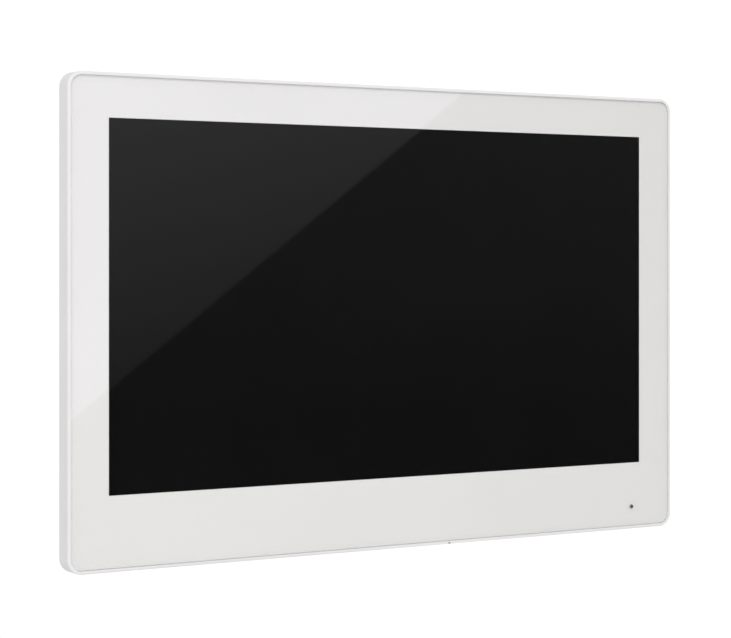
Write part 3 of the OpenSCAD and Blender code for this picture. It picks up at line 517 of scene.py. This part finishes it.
def show(mesh, name, body, node, keep_flats=True):
    """Turn a mesh into a smooth-shaded piece that rides on a body and stands for its node."""
    if isinstance(mesh, bmesh.types.BMesh):
        data = bpy.data.meshes.new(name)
        mesh.to_mesh(data)
        mesh.free()
    else:
        data = mesh
    data.name = name
    data.shade_smooth()
    data.set_sharp_from_angle(angle=CREASE)
    piece = bpy.data.objects.new(name, data)
    scene.collection.objects.link(piece)
    if not any(data.materials):
        data.materials.clear()
        data.materials.append(finish_of[node])
    if keep_flats:
        flats = piece.modifiers.new("flats", "WEIGHTED_NORMAL")
        flats.keep_sharp = True
        flats.weight = 100
    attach(piece, body)
    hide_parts(node)
    return piece


def size_of(node):
    """A node's lowest and highest corner, in millimetres."""
    low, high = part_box(node)
    return low / MM, high / MM


frame_low, frame_high = size_of("front_frame")
body_w = frame_high.x - frame_low.x
body_h = frame_high.z - frame_low.z
CORNER_R = 5.0
RIM_W = 1.1

# A point this far inside an outline belongs to a hole or a recess, not to the outline's own edge
WELL_INSIDE = 2.0


def outline_in_rim(node):
    """The width, height and corner radius of a sheet that lies evenly within the rim."""
    low, high = size_of(node)
    width = high.x - low.x
    return width, high.z - low.z, CORNER_R - (body_w - width) / 2


def frame_shell():
    """The front frame: a full round in front, small ones inside the rim and at the back, and painted shade in
    the nick.
    """
    front_r, inner_r, back_r, nick_r = 0.55, 0.06, 0.3, 0.6
    front, back = frame_low.y, frame_high.y
    reset_low, reset_high = size_of("reset_button")
    nick_x = (reset_low.x + reset_high.x) / 2
    mesh = clean_copy("front_frame")

    def lies(x, z):
        return inset(x, z, body_w, body_h, CORNER_R)

    round_edges(mesh, front_r, lambda x, y, z: near(y, front) and near(lies(x, z), 0), 5)
    round_edges(mesh, inner_r, lambda x, y, z: near(y, front) and near(lies(x, z), RIM_W), 2)
    round_edges(mesh, back_r, lambda x, y, z: near(y, back) and near(lies(x, z), 0), 3)
    shell = show(mesh, "frame_shell", "monitor", "front_frame")
    # The nick's inner faces, neither facing front nor straight down, take the grey finish as painted shade
    # inside the nick
    shell.data.materials.append(nick_painted_shade())
    for face in shell.data.polygons:
        middle = face.center / MM
        reach = math.hypot(middle.x - nick_x, middle.z + body_h / 2)
        lies_in_front = abs(face.normal.y) >= 0.5
        lies_below = face.normal.z <= -0.999
        if reach < nick_r + SLACK and not lies_in_front and not lies_below:
            face.material_index = 1


def glass_pane():
    """The cover glass: close to the rim, a hair clear of the print, ground edges, and painted shade deep in
    the sound hole.
    """
    print_gap, closer = 0.02, 0.12
    edge_r, hole_r = 0.12, 0.06
    ground_band, hole_lip = 0.15, 0.5
    low, high = size_of("cover_glass")
    outline = outline_in_rim("cover_glass")
    mesh = clean_copy("cover_glass")

    def lies(x, z):
        return inset(x, z, *outline)

    def in_hole(face, middle):
        return lies(middle.x, middle.z) > WELL_INSIDE and abs(face.normal.y) < 0.9

    for point in mesh.verts:
        if near(point.co.y / MM, high.y):
            point.co.y -= print_gap * MM
    widen(mesh, *outline, closer)
    round_edges(mesh, edge_r, lambda x, y, z: near(y, low.y) and near(lies(x, z), -closer), 3)
    round_edges(mesh, hole_r, lambda x, y, z: near(y, low.y) and lies(x, z) > WELL_INSIDE, 2)
    mesh.normal_update()
    wall = [face for face in mesh.faces if in_hole(face, face.calc_center_median() / MM)]
    wall_parts = dict.fromkeys(part for face in wall for part in (face, *face.edges, *face.verts))
    painted_shade_from = low.y + hole_lip
    bmesh.ops.bisect_plane(mesh, geom=list(wall_parts), plane_co=(0, painted_shade_from * MM, 0), plane_no=(0, 1, 0))
    pane = show(mesh, "glass_pane", "monitor", "cover_glass")
    pane.data.materials.append(ground_edge())
    # The sound hole's wall deeper than its lip takes the black rubber finish: painted shade inside the hole
    pane.data.materials.append(finish_of["mic_boot"])
    for face in pane.data.polygons:
        middle = face.center / MM
        if in_hole(face, middle):
            face.material_index = 2 if middle.y > painted_shade_from else 1
        elif lies(middle.x, middle.z) < ground_band:
            face.material_index = 1


def printed_border():
    """The print behind the glass, drawn out past the ground edge so that the edge isn't seen through."""
    further_out = 0.3
    mesh = clean_copy("border_print")
    widen(mesh, *outline_in_rim("border_print"), further_out)
    show(mesh, "printed_border", "monitor", "border_print")


def back_shell():
    """The rear cover: a generous round on its back edge, and broken edges on the recess and the slots."""
    margin, corner_r, wall_band = 9.0, 8.0, 3.0
    outer_r, inner_r = 1.4, 0.3
    back = size_of("rear_cover")[1].y
    mesh = clean_copy("rear_cover")

    def lies(x, z):
        return inset(x, z, body_w - 2 * margin, body_h - 2 * margin, corner_r)

    round_edges(mesh, outer_r, lambda x, y, z: near(y, back) and near(lies(x, z), 0), 5)
    round_edges(mesh, inner_r, lambda x, y, z: near(y, back) and lies(x, z) > wall_band, 2)
    show(mesh, "back_shell", "monitor", "rear_cover")


def bracket_plate():
    """The wall bracket: sheet with broken edges and true bends where the hooks leave it."""
    sheet_t, hook_seats = 1.2, (35, -25)
    bend_r, edge_r = 1.0, 0.12
    lip_front = size_of("wall_bracket")[0].y
    mesh = clean_copy("wall_bracket")

    def at_bend(x, y, z):
        return near(y, lip_front) and any(near(z, seat - sheet_t) for seat in hook_seats)

    round_edges(mesh, bend_r, at_bend, 5)
    round_edges(mesh, edge_r, lambda x, y, z: near(y, -sheet_t) or near(y, 0), 2)
    show(mesh, "bracket_plate", "wall_bracket", "wall_bracket")


def socket_shell():
    """The network socket's tinned shell: folded edges towards the wall, and a mouth that stays sharp."""
    fold_r, mouth = 0.25, 1.0
    low, high = size_of("jack_shell")
    mesh = clean_copy("jack_shell")
    round_edges(mesh, fold_r, lambda x, y, z: near(y, high.y) and z > low.z + mouth, 3)
    show(mesh, "socket_shell", "monitor", "jack_shell")


def terminal_blocks():
    """The header and its plug, with the mould's rounded edges."""
    edge_r = 0.25
    for node, body in (("terminal_header", "monitor"), ("terminal_plug", "terminal_plug")):
        low, high = size_of(node)

        def outer(x, y, z):
            at_side = near(x, low.x) or near(x, high.x)
            return near(y, high.y) and (at_side or near(z, low.z) or near(z, high.z))

        mesh = clean_copy(node)
        round_edges(mesh, edge_r, outer, 3)
        show(mesh, node + "_body", body, node)


# ---------------------------------------------------------------- grown pieces: what repeats

# Kinds of named input that a tree takes
SIZE, TURN, COAT = "NodeSocketFloat", "NodeSocketVector", "NodeSocketMaterial"

# Turns that bring a piece built upright to face the wall or the front
TO_WALL = (-math.pi / 2, 0, 0)
TO_FRONT = (math.pi / 2, 0, 0)


def solids(node):
    """The lowest and highest corner of each separate solid of a node, in metres."""
    mesh = bmesh.new()
    mesh.from_mesh(frame["nodes"][node].data)
    bmesh.ops.remove_doubles(mesh, verts=mesh.verts, dist=WELD)
    left, found = set(mesh.verts), []
    while left:
        todo, island = [left.pop()], []
        while todo:
            point = todo.pop()
            island.append(point.co.copy())
            for edge in point.link_edges:
                other = edge.other_vert(point)
                if other in left:
                    left.remove(other)
                    todo.append(other)
        low = Vector(min(c[i] for c in island) for i in range(3))
        high = Vector(max(c[i] for c in island) for i in range(3))
        found.append((low, high))
    mesh.free()
    return sorted(found, key=lambda pair: tuple(round(c, 6) for c in pair[0]))


def start_tree(name, inputs):
    """A Geometry Nodes tree with a geometry in and out and these named sizes, in metres."""
    tree = bpy.data.node_groups.new(name, "GeometryNodeTree")
    tree.interface.new_socket("Geometry", in_out="INPUT", socket_type="NodeSocketGeometry")
    tree.interface.new_socket("Geometry", in_out="OUTPUT", socket_type="NodeSocketGeometry")
    for label, (kind, value) in inputs.items():
        made = tree.interface.new_socket(label, in_out="INPUT", socket_type=kind)
        if value is not None:
            made.default_value = value
    return tree, tree.nodes.new("NodeGroupInput").outputs


def end_tree(tree, geometry, material):
    """Real meshes with their finish, as the tree's result."""
    real = add(tree, "GeometryNodeRealizeInstances", {"Geometry": geometry})
    coated = add(tree, "GeometryNodeSetMaterial", {"Geometry": real.outputs[0], "Material": material})
    add(tree, "NodeGroupOutput", {"Geometry": coated.outputs[0]})


def grow(name, tree, points, sizes):
    """Run a tree on these points and give the plain mesh that comes out."""
    seeds = bpy.data.meshes.new(name)
    seeds.from_pydata(points, [], [])
    carrier = bpy.data.objects.new(name + "_seeds", seeds)
    scene.collection.objects.link(carrier)
    change = carrier.modifiers.new("grow", "NODES")
    change.node_group = tree
    for item in tree.interface.items_tree:
        if item.in_out == "INPUT" and item.name in sizes:
            change[item.identifier] = sizes[item.name]
    shown = carrier.evaluated_get(bpy.context.evaluated_depsgraph_get())
    mesh = bpy.data.meshes.new_from_object(shown)
    bpy.data.objects.remove(carrier)
    bpy.data.meshes.remove(seeds)
    return mesh


def from_axis(tree):
    """Where a point is along a round piece's axis, the arrow out to it, and how long the arrow is."""
    place = add(tree, "GeometryNodeInputPosition")
    parts = add(tree, SPLIT, {0: place.outputs[0]})
    arrow = add(tree, JOIN, {"X": parts.outputs["X"], "Y": parts.outputs["Y"]})
    reach = add(tree, VECTOR_MATH, {0: arrow.outputs[0]}, operation="LENGTH")
    return parts.outputs["Z"], arrow.outputs[0], reach.outputs["Value"]


def screw_head(tree, given, along, reach):
    """A head on the seat, domed towards its rim, with a cross or a slot cut into it."""
    dome_power = 3.0
    disc = add(tree, "GeometryNodeMeshCylinder", {
        "Vertices": 40, "Side Segments": 3, "Fill Segments": 6,
        "Radius": given["Head Radius"], "Depth": given["Head Height"]})
    half = add(tree, MATH, {0: given["Head Height"], 1: 0.5}, operation="MULTIPLY")
    lift = add(tree, JOIN, {"Z": half.outputs[0]})
    head = add(tree, TRANSFORM, {"Geometry": disc.outputs["Mesh"], "Translation": lift.outputs[0]})
    share = add(tree, MATH, {0: reach, 1: given["Head Radius"]}, operation="DIVIDE")
    curve = add(tree, MATH, {0: share.outputs[0], 1: dome_power}, operation="POWER")
    drop = add(tree, MATH, {0: curve.outputs[0], 1: given["Dome"]}, operation="MULTIPLY")
    fall = add(tree, MATH, {0: drop.outputs[0], 1: along}, operation="MULTIPLY")
    down = add(tree, MATH, {0: fall.outputs[0], 1: -1.0}, operation="MULTIPLY")
    shift = add(tree, JOIN, {"Z": down.outputs[0]})
    head = add(tree, "GeometryNodeSetPosition", {"Geometry": head.outputs[0], "Offset": shift.outputs[0]})
    deep = add(tree, MATH, {0: given["Drive Depth"], 1: 2.0}, operation="MULTIPLY")
    top = add(tree, JOIN, {"Z": given["Head Height"]})
    cuts = add(tree, "GeometryNodeJoinGeometry")
    for length, width in (("Drive Length", "Drive Width"), ("Drive Width", "Second Drive Length")):
        size = add(tree, JOIN, {"X": given[length], "Y": given[width], "Z": deep.outputs[0]})
        block = add(tree, "GeometryNodeMeshCube", {"Size": size.outputs[0]})
        raised = add(tree, TRANSFORM, {"Geometry": block.outputs["Mesh"], "Translation": top.outputs[0]})
        tree.links.new(raised.outputs[0], cuts.inputs[0])
    head = add(tree, "GeometryNodeMeshBoolean", {"Mesh 1": head.outputs[0], "Mesh 2": cuts.outputs[0]},
               operation="DIFFERENCE", solver="EXACT")
    head.inputs["Self Intersection"].default_value = True
    return head.outputs["Mesh"]


def screw_shank(tree, given, along, arrow):
    """A shank below the seat, pinched in at every turn of its thread by a share of its radius."""
    rings_per_turn, thread_share = 4.0, 0.16
    turns = add(tree, MATH, {0: given["Shank Length"], 1: given["Thread Pitch"]}, operation="DIVIDE")
    rings = add(tree, MATH, {0: turns.outputs[0], 1: rings_per_turn}, operation="MULTIPLY")
    rod = add(tree, "GeometryNodeMeshCylinder", {
        "Vertices": 20, "Side Segments": rings.outputs[0], "Fill Segments": 2,
        "Radius": given["Shank Radius"], "Depth": given["Shank Length"]})
    phase = add(tree, MATH, {0: along, 1: given["Thread Pitch"]}, operation="DIVIDE")
    angle = add(tree, MATH, {0: phase.outputs[0], 1: 2 * math.pi}, operation="MULTIPLY")
    wave = add(tree, MATH, {0: angle.outputs[0]}, operation="SINE")
    pinch = add(tree, MAP_RANGE, {
        "Value": wave.outputs[0], "From Min": -1.0, "From Max": 1.0, "To Min": -thread_share, "To Max": 0.0})
    inward = add(tree, VECTOR_MATH, {0: arrow, "Scale": pinch.outputs[0]}, operation="SCALE")
    thread = add(tree, "GeometryNodeSetPosition", {
        "Geometry": rod.outputs["Mesh"], "Offset": inward.outputs[0]})
    sink = add(tree, MATH, {0: given["Shank Length"], 1: -0.5}, operation="MULTIPLY")
    below = add(tree, JOIN, {"Z": sink.outputs[0]})
    return add(tree, TRANSFORM, {"Geometry": thread.outputs[0], "Translation": below.outputs[0]}).outputs[0]


def screw_tree():
    """Screws on points: each has a head and a shank, and stops at a turn of its own."""
    tree, given = start_tree("screw", {
        "Head Radius": (SIZE, 2 * MM), "Head Height": (SIZE, 1 * MM),
        "Shank Radius": (SIZE, 1 * MM), "Shank Length": (SIZE, 5 * MM), "Thread Pitch": (SIZE, 0.8 * MM),
        "Drive Length": (SIZE, 2.4 * MM), "Drive Width": (SIZE, 0.6 * MM), "Drive Depth": (SIZE, 0.6 * MM),
        "Second Drive Length": (SIZE, 2.4 * MM), "Dome": (SIZE, 0.35),
        "Turn": (TURN, (0, 0, 0)), "Material": (COAT, None),
    })
    along, arrow, reach = from_axis(tree)
    whole = add(tree, "GeometryNodeJoinGeometry", {"Geometry": screw_shank(tree, given, along, arrow)})
    tree.links.new(screw_head(tree, given, along, reach), whole.inputs[0])
    set_out = add(tree, "GeometryNodeInstanceOnPoints", {
        "Points": given["Geometry"], "Instance": whole.outputs[0], "Rotation": given["Turn"]})
    stop = add(tree, "FunctionNodeRandomValue", {RANDOM_LOW: 0.0, RANDOM_HIGH: 2 * math.pi, "Seed": 7},
               data_type="FLOAT")
    stop_turn = add(tree, JOIN, {"Z": stop.outputs[RANDOM_OUT]})
    turned = add(tree, "GeometryNodeRotateInstances", {
        "Instances": set_out.outputs[0], "Rotation": stop_turn.outputs[0], "Local Space": True})
    end_tree(tree, turned.outputs[0], given["Material"])
    return tree


def screws(tree, name, node, body, head_height, shank_radius, turn, slotted=False):
    """One set of screws where the node has them, facing this way, with these two sizes in millimetres."""
    thread_pitch, dome = 0.7, 0.35
    cross_share, slot_share, width_share, depth_share = 1.1, 2.0, 0.3, 0.6
    places = solids(node)
    low, high = places[0]
    head = head_height * MM
    head_radius = (high.x - low.x) / 2
    seat = high.y - head if turn == TO_WALL else low.y + head
    points = [((a.x + b.x) / 2, seat, (a.z + b.z) / 2) for a, b in places]
    width = head_radius * width_share
    length = head_radius * (slot_share if slotted else cross_share)
    mesh = grow(name, tree, points, {
        "Head Radius": head_radius, "Head Height": head, "Dome": 0.0 if slotted else dome,
        "Shank Radius": shank_radius * MM, "Shank Length": high.y - low.y - head,
        "Thread Pitch": thread_pitch * MM, "Drive Length": length, "Drive Width": width,
        "Second Drive Length": width if slotted else length,
        "Drive Depth": head * depth_share, "Turn": turn, "Material": finish_of[node]})
    show(mesh, name, body, node, keep_flats=False)


def screw_sets():
    """Each set by its name, node and body, its heads' height and its shanks' radius, and the way it faces."""
    tree = screw_tree()
    screws(tree, "case_screw_set", "case_screws", "monitor", 1.0, 1.1, TO_WALL)
    screws(tree, "board_screw_set", "board_screws", "monitor", 1.5, 1.2, TO_WALL)
    screws(tree, "mic_board_screw_set", "mic_board_screws", "monitor", 0.8, 0.8, TO_WALL)
    screws(tree, "chassis_screw_set", "chassis_screws", "monitor", 0.6, 1.25, TO_FRONT)
    screws(tree, "clamp_screw_set", "plug_screws", "terminal_plug", 1.4, 1.2, TO_WALL, slotted=True)


def rod_tree(name, square):
    """A straight rod from one offset to another, round or square, with its two tips drawn in."""
    places_along, sides = 17, 16
    tree, given = start_tree(name, {
        "Start": (TURN, (0, 0, 0)), "End": (TURN, (0, 0, 8 * MM)),
        "Width": (SIZE, 1 * MM), "Depth": (SIZE, 1 * MM), "Tip": (SIZE, 0.6), "Material": (COAT, None),
    })
    line = add(tree, "GeometryNodeCurvePrimitiveLine", {"Start": given["Start"], "End": given["End"]})
    steps = add(tree, "GeometryNodeResampleCurve", {"Curve": line.outputs[0], "Count": places_along})
    tips = add(tree, "GeometryNodeCurveEndpointSelection")
    even = add(tree, "GeometryNodeSetCurveRadius", {"Curve": steps.outputs[0], "Radius": 1.0})
    drawn = add(tree, "GeometryNodeSetCurveRadius", {
        "Curve": even.outputs[0], "Selection": tips.outputs[0], "Radius": given["Tip"]})
    if square:
        profile = add(tree, "GeometryNodeCurvePrimitiveQuadrilateral", {
            "Width": given["Width"], "Height": given["Depth"]})
    else:
        half = add(tree, MATH, {0: given["Width"], 1: 0.5}, operation="MULTIPLY")
        profile = add(tree, "GeometryNodeCurvePrimitiveCircle", {
            "Resolution": sides, "Radius": half.outputs[0]})
    width_now = add(tree, "GeometryNodeInputRadius")
    rod = add(tree, "GeometryNodeCurveToMesh", {
        "Curve": drawn.outputs[0], "Profile Curve": profile.outputs[0], "Scale": width_now.outputs[0],
        "Fill Caps": True})
    rods = add(tree, "GeometryNodeInstanceOnPoints", {
        "Points": given["Geometry"], "Instance": rod.outputs[0]})
    end_tree(tree, rods.outputs[0], given["Material"])
    return tree


def socket_contacts():
    """The socket's eight sprung contacts as round drawn wires, each leaning across its own slot."""
    node = "jack_contacts"
    thickest, end_gap = 0.3 * MM, 0.02 * MM
    places = solids(node)
    low, high = places[0]
    corners = frame["nodes"][node].data.vertices
    foot_y = [corner.co.y for corner in corners if abs(corner.co.z - low.z) < 0.1 * MM]
    middle = (low.y + high.y) / 2
    leans_back = sum(foot_y) / len(foot_y) < middle
    width = min(high.x - low.x, thickest)
    front_y, back_y = low.y + width / 2, high.y - width / 2
    start_y, end_y = (front_y, back_y) if leans_back else (back_y, front_y)
    points = [((a.x + b.x) / 2, middle, a.z) for a, b in places]
    mesh = grow("contact_wires", rod_tree("wire", False), points, {
        "Start": (0, start_y - middle, end_gap), "End": (0, end_y - middle, high.z - low.z - end_gap),
        "Width": width, "Tip": 0.7, "Material": finish_of[node]})
    show(mesh, "contact_wires", "monitor", node, keep_flats=False)


def terminal_pins():
    """The header's square pins, with coined tips."""
    node = "header_pins"
    places = solids(node)
    low, high = places[0]
    points = [((a.x + b.x) / 2, (a.y + b.y) / 2, a.z) for a, b in places]
    mesh = grow("pin_row", rod_tree("pin", True), points, {
        "Start": (0, 0, 0), "End": (0, 0, high.z - low.z), "Width": high.x - low.x, "Depth": high.y - low.y,
        "Tip": 0.6, "Material": finish_of[node]})
    show(mesh, "pin_row", "monitor", node)


def pad_tree():
    """A round pad: rolled edges, and fine rings moulded in its face."""
    rim_power, rim_fall, wall_power = 24.0, 0.8, 6.0
    tree, given = start_tree("pad", {
        "Radius": (SIZE, 4.5 * MM), "Height": (SIZE, 1 * MM), "Ring Pitch": (SIZE, 1.5 * MM),
        "Ring Depth": (SIZE, 0.06 * MM), "Roll": (SIZE, 0.25 * MM),
        "Turn": (TURN, (0, 0, 0)), "Material": (COAT, None),
    })
    disc = add(tree, "GeometryNodeMeshCylinder", {
        "Vertices": 64, "Side Segments": 8, "Fill Segments": 24,
        "Radius": given["Radius"], "Depth": given["Height"]})
    along, arrow, reach = from_axis(tree)

    # The rings: a cosine of the distance out, never above the face
    turns = add(tree, MATH, {0: reach, 1: given["Ring Pitch"]}, operation="DIVIDE")
    angle = add(tree, MATH, {0: turns.outputs[0], 1: 2 * math.pi}, operation="MULTIPLY")
    wave = add(tree, MATH, {0: angle.outputs[0]}, operation="COSINE")
    lowered = add(tree, MATH, {0: wave.outputs[0], 1: -1.0}, operation="ADD")
    depth = add(tree, MATH, {0: given["Ring Depth"], 1: 0.5}, operation="MULTIPLY")
    dip = add(tree, MATH, {0: lowered.outputs[0], 1: depth.outputs[0]}, operation="MULTIPLY")

    # The rolled rim: the face falls steeply near its edge
    share = add(tree, MATH, {0: reach, 1: given["Radius"]}, operation="DIVIDE")
    steep = add(tree, MATH, {0: share.outputs[0], 1: rim_power}, operation="POWER")
    roll = add(tree, MATH, {0: given["Roll"], 1: -rim_fall}, operation="MULTIPLY")
    edge = add(tree, MATH, {0: steep.outputs[0], 1: roll.outputs[0]}, operation="MULTIPLY")

    # Both follow the height, which is one on the face, and the wall is drawn in towards its ends
    twice = add(tree, MATH, {0: along, 1: 2.0}, operation="MULTIPLY")
    height = add(tree, MATH, {0: twice.outputs[0], 1: given["Height"]}, operation="DIVIDE")
    fall = add(tree, MATH, {0: dip.outputs[0], 1: edge.outputs[0]}, operation="ADD")
    drop = add(tree, MATH, {0: fall.outputs[0], 1: height.outputs[0]}, operation="MULTIPLY")
    either_way = add(tree, MATH, {0: height.outputs[0]}, operation="ABSOLUTE")
    bulge = add(tree, MATH, {0: either_way.outputs[0], 1: wall_power}, operation="POWER")
    inwards = add(tree, MATH, {0: given["Roll"], 1: -1.0}, operation="MULTIPLY")
    pull = add(tree, MATH, {0: bulge.outputs[0], 1: inwards.outputs[0]}, operation="MULTIPLY")
    pull_share = add(tree, MATH, {0: pull.outputs[0], 1: given["Radius"]}, operation="DIVIDE")
    pulled = add(tree, VECTOR_MATH, {0: arrow, "Scale": pull_share.outputs[0]}, operation="SCALE")
    lifted = add(tree, JOIN, {"Z": drop.outputs[0]})
    offset = add(tree, VECTOR_MATH, {0: pulled.outputs[0], 1: lifted.outputs[0]}, operation="ADD")
    shaped = add(tree, "GeometryNodeSetPosition", {
        "Geometry": disc.outputs["Mesh"], "Offset": offset.outputs[0]})
    pads = add(tree, "GeometryNodeInstanceOnPoints", {
        "Points": given["Geometry"], "Instance": shaped.outputs[0], "Rotation": given["Turn"]})
    end_tree(tree, pads.outputs[0], given["Material"])
    return tree


def wall_pad_set():
    """The soft pads that keep the housing off the wall."""
    node = "wall_pads"
    places = solids(node)
    low, high = places[0]
    points = [tuple((a + b) / 2) for a, b in places]
    mesh = grow("pad_set", pad_tree(), points, {
        "Radius": (high.x - low.x) / 2, "Height": high.y - low.y, "Turn": TO_WALL,
        "Material": finish_of[node]})
    show(mesh, "pad_set", "monitor", node, keep_flats=False)


frame_shell()
glass_pane()
printed_border()
back_shell()
bracket_plate()
socket_shell()
terminal_blocks()
screw_sets()
socket_contacts()
terminal_pins()
wall_pad_set()


# ---------------------------------------------------------------- camera, light and floor

GLASS_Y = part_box("cover_glass")[0].y

# A long lens at the front left, level, shifted down so that uprights stay upright
CAMERA = Vector((-0.4012, -0.6639, 0.02195))
LOOK = Vector((0.51824, 0.85524, 0.0))
LENS = 104.04
SENSOR = 36
SHIFT_UP = -0.0862

# How strong the white surroundings are: behind the part, as its light, and mirrored in sharp surfaces
SEEN = 1.05
LIGHTING = 0.80
MIRRORED = 0.30

FLOOR_Z = -1.45
FLOOR_HALF = 20.0

LAMP = Vector((-0.55, -1.35, 0.5))
LAMP_SIDE = 0.9
LAMP_POWER = 7.7

# The cards' plane, and the slanting edge of the cards' glow where the glass mirrors it, in millimetres
CARD_Y = -1.6
SLANT = ((-128.9, -34.7), (-10.2, 52.3))
SLANT_SOFT = 0.003
VIOLET = (0.80, 0.70, 1.00, 1.0)


def set_camera():
    """The view from the front left."""
    view = bpy.data.cameras.new("camera")
    view.lens = LENS
    view.sensor_width = SENSOR
    view.shift_y = SHIFT_UP
    view.clip_start = 0.01
    view.clip_end = 50
    camera = bpy.data.objects.new("camera", view)
    camera.location = CAMERA
    camera.rotation_euler = LOOK.to_track_quat("-Z", "Y").to_euler()
    scene.collection.objects.link(camera)
    scene.camera = camera


def by_ray(tree, kind, plain):
    """One look for the camera, one for what sharp surfaces mirror, and a plain one for every other ray."""
    ray = add(tree, "ShaderNodeLightPath")
    seen = add(tree, kind, {"Color": WHITE, "Strength": SEEN})
    dimmed = add(tree, kind, {"Color": WHITE, "Strength": MIRRORED})
    unseen = add(tree, "ShaderNodeMixShader", {
        0: ray.outputs["Is Singular Ray"], 1: plain, 2: dimmed.outputs[0]})
    return add(tree, "ShaderNodeMixShader", {
        0: ray.outputs["Is Camera Ray"], 1: unseen.outputs[0], 2: seen.outputs[0]}).outputs[0]


def set_world():
    """An even white studio that lights the part from all round."""
    world = bpy.data.worlds.new("studio")
    scene.world = world
    world.use_nodes = True
    tree = world.node_tree
    tree.nodes.clear()
    lit = add(tree, "ShaderNodeBackground", {"Color": WHITE, "Strength": LIGHTING})
    add(tree, "ShaderNodeOutputWorld", {"Surface": by_ray(tree, "ShaderNodeBackground", lit.outputs[0])})


def plane(name, corners, material):
    """A flat staged sheet through these corners."""
    mesh = bpy.data.meshes.new(name)
    mesh.from_pydata([tuple(c) for c in corners], [], [tuple(range(len(corners)))])
    mesh.materials.append(material)
    sheet = bpy.data.objects.new(name, mesh)
    scene.collection.objects.link(sheet)
    return sheet


def set_floor():
    """A plain white floor, well below so that it runs into the white around it."""
    made, tree, shader, _ = finish("white_floor", "#F4F4F4", 0.9)
    look = by_ray(tree, "ShaderNodeEmission", shader.outputs["BSDF"])
    tree.links.new(look, tree.nodes["Material Output"].inputs["Surface"])
    sides = ((-1, -1), (1, -1), (1, 1), (-1, 1))
    plane("floor", [(x * FLOOR_HALF, y * FLOOR_HALF, FLOOR_Z) for x, y in sides], made)


def mirrored(x, z):
    """Where the camera sees the cards' plane in the glass at this place, which is in millimetres."""
    behind = Vector((CAMERA.x, 2 * GLASS_Y - CAMERA.y, CAMERA.z))
    on_glass = Vector((x * MM, GLASS_Y, z * MM))
    step = on_glass - behind
    return behind + step * (CARD_Y - behind.y) / step.y


def card_surface(name, even, lit, lit_colour):
    """A card's glow: white all over, and more past the slanting edge.

    Both are given as their strengths at the foot and at the top, and what is added at the left.
    """
    made = bpy.data.materials.new(name)
    made.use_nodes = True
    tree = made.node_tree
    tree.nodes.clear()
    place = add(tree, "ShaderNodeTexCoord").outputs["Object"]
    spot = add(tree, SPLIT, {0: place})
    foot_z, top_z = mirrored(0, -35).z, mirrored(0, 70).z
    left_x, right_x = mirrored(-120, 0).x, mirrored(120, 0).x
    strengths = []
    for foot, top, left in (even, lit):
        upwards = add(tree, MAP_RANGE, {
            "Value": spot.outputs["Z"], "From Min": foot_z, "From Max": top_z, "To Min": foot, "To Max": top})
        sideways = add(tree, MAP_RANGE, {
            "Value": spot.outputs["X"], "From Min": left_x, "From Max": right_x,
            "To Min": left, "To Max": 0.0})
        strengths.append(add(tree, MATH, {0: upwards.outputs["Result"], 1: sideways.outputs["Result"]},
                             operation="ADD").outputs[0])
    start, end = (mirrored(*point) for point in SLANT)
    slope = (end - start).normalized()
    across = Vector((-slope.z, 0, slope.x))
    middle = across.dot(start)
    reach = add(tree, VECTOR_MATH, {0: place, 1: across}, operation="DOT_PRODUCT")
    past = add(tree, MAP_RANGE, {
        "Value": reach.outputs["Value"], "From Min": middle - SLANT_SOFT, "From Max": middle + SLANT_SOFT,
        "To Min": 0.0, "To Max": 1.0}, interpolation_type="SMOOTHSTEP")
    more = add(tree, MATH, {0: past.outputs["Result"], 1: strengths[1]}, operation="MULTIPLY")
    first = add(tree, "ShaderNodeEmission", {"Color": WHITE, "Strength": strengths[0]})
    second = add(tree, "ShaderNodeEmission", {"Color": lit_colour, "Strength": more.outputs[0]})
    both = add(tree, "ShaderNodeAddShader", {0: first.outputs[0], 1: second.outputs[0]})
    add(tree, "ShaderNodeOutputMaterial", {"Surface": both.outputs[0]})
    return made


def set_card(name, edges, nearer, surface):
    """A card that only the glass sees, between these edges as it mirrors them, in millimetres."""
    left, right, foot, top = edges
    corners = [mirrored(x, z) for x, z in ((left, foot), (right, foot), (right, top), (left, top))]
    for corner in corners:
        corner.y += nearer
    card = plane(name, corners, surface)
    card.visible_camera = False
    card.visible_diffuse = False
    card.visible_shadow = False


def set_cards():
    """Two studio cards that the glass mirrors: a dark one over the screen, and a paler one for the border."""
    set_card("border_card", (-160, 160, -105, 105), 0.0,
             card_surface("border_card", (0.21, 0.0, 0.35), (0.78, 0.78, 0.0), VIOLET))
    set_card("screen_card", (-112.4, 111.6, -57.6, 68.0), 0.004,
             card_surface("screen_card", (0.034, 0.080, 0.0), (-0.085, 0.085, 0.13), WHITE))


def set_lamp():
    """A large soft lamp at the front left, which the glass doesn't mirror."""
    lamp = bpy.data.lights.new("key", "AREA")
    lamp.shape = "RECTANGLE"
    lamp.size = LAMP_SIDE
    lamp.size_y = LAMP_SIDE
    lamp.energy = LAMP_POWER
    holder = bpy.data.objects.new("key", lamp)
    holder.location = LAMP
    holder.rotation_euler = (-LAMP).to_track_quat("-Z", "Y").to_euler()
    holder.visible_glossy = False
    holder.visible_transmission = False
    scene.collection.objects.link(holder)


set_camera()
set_world()
set_floor()
set_cards()
set_lamp()
scene.view_settings.view_transform = "Standard"
scene.view_settings.look = "None"
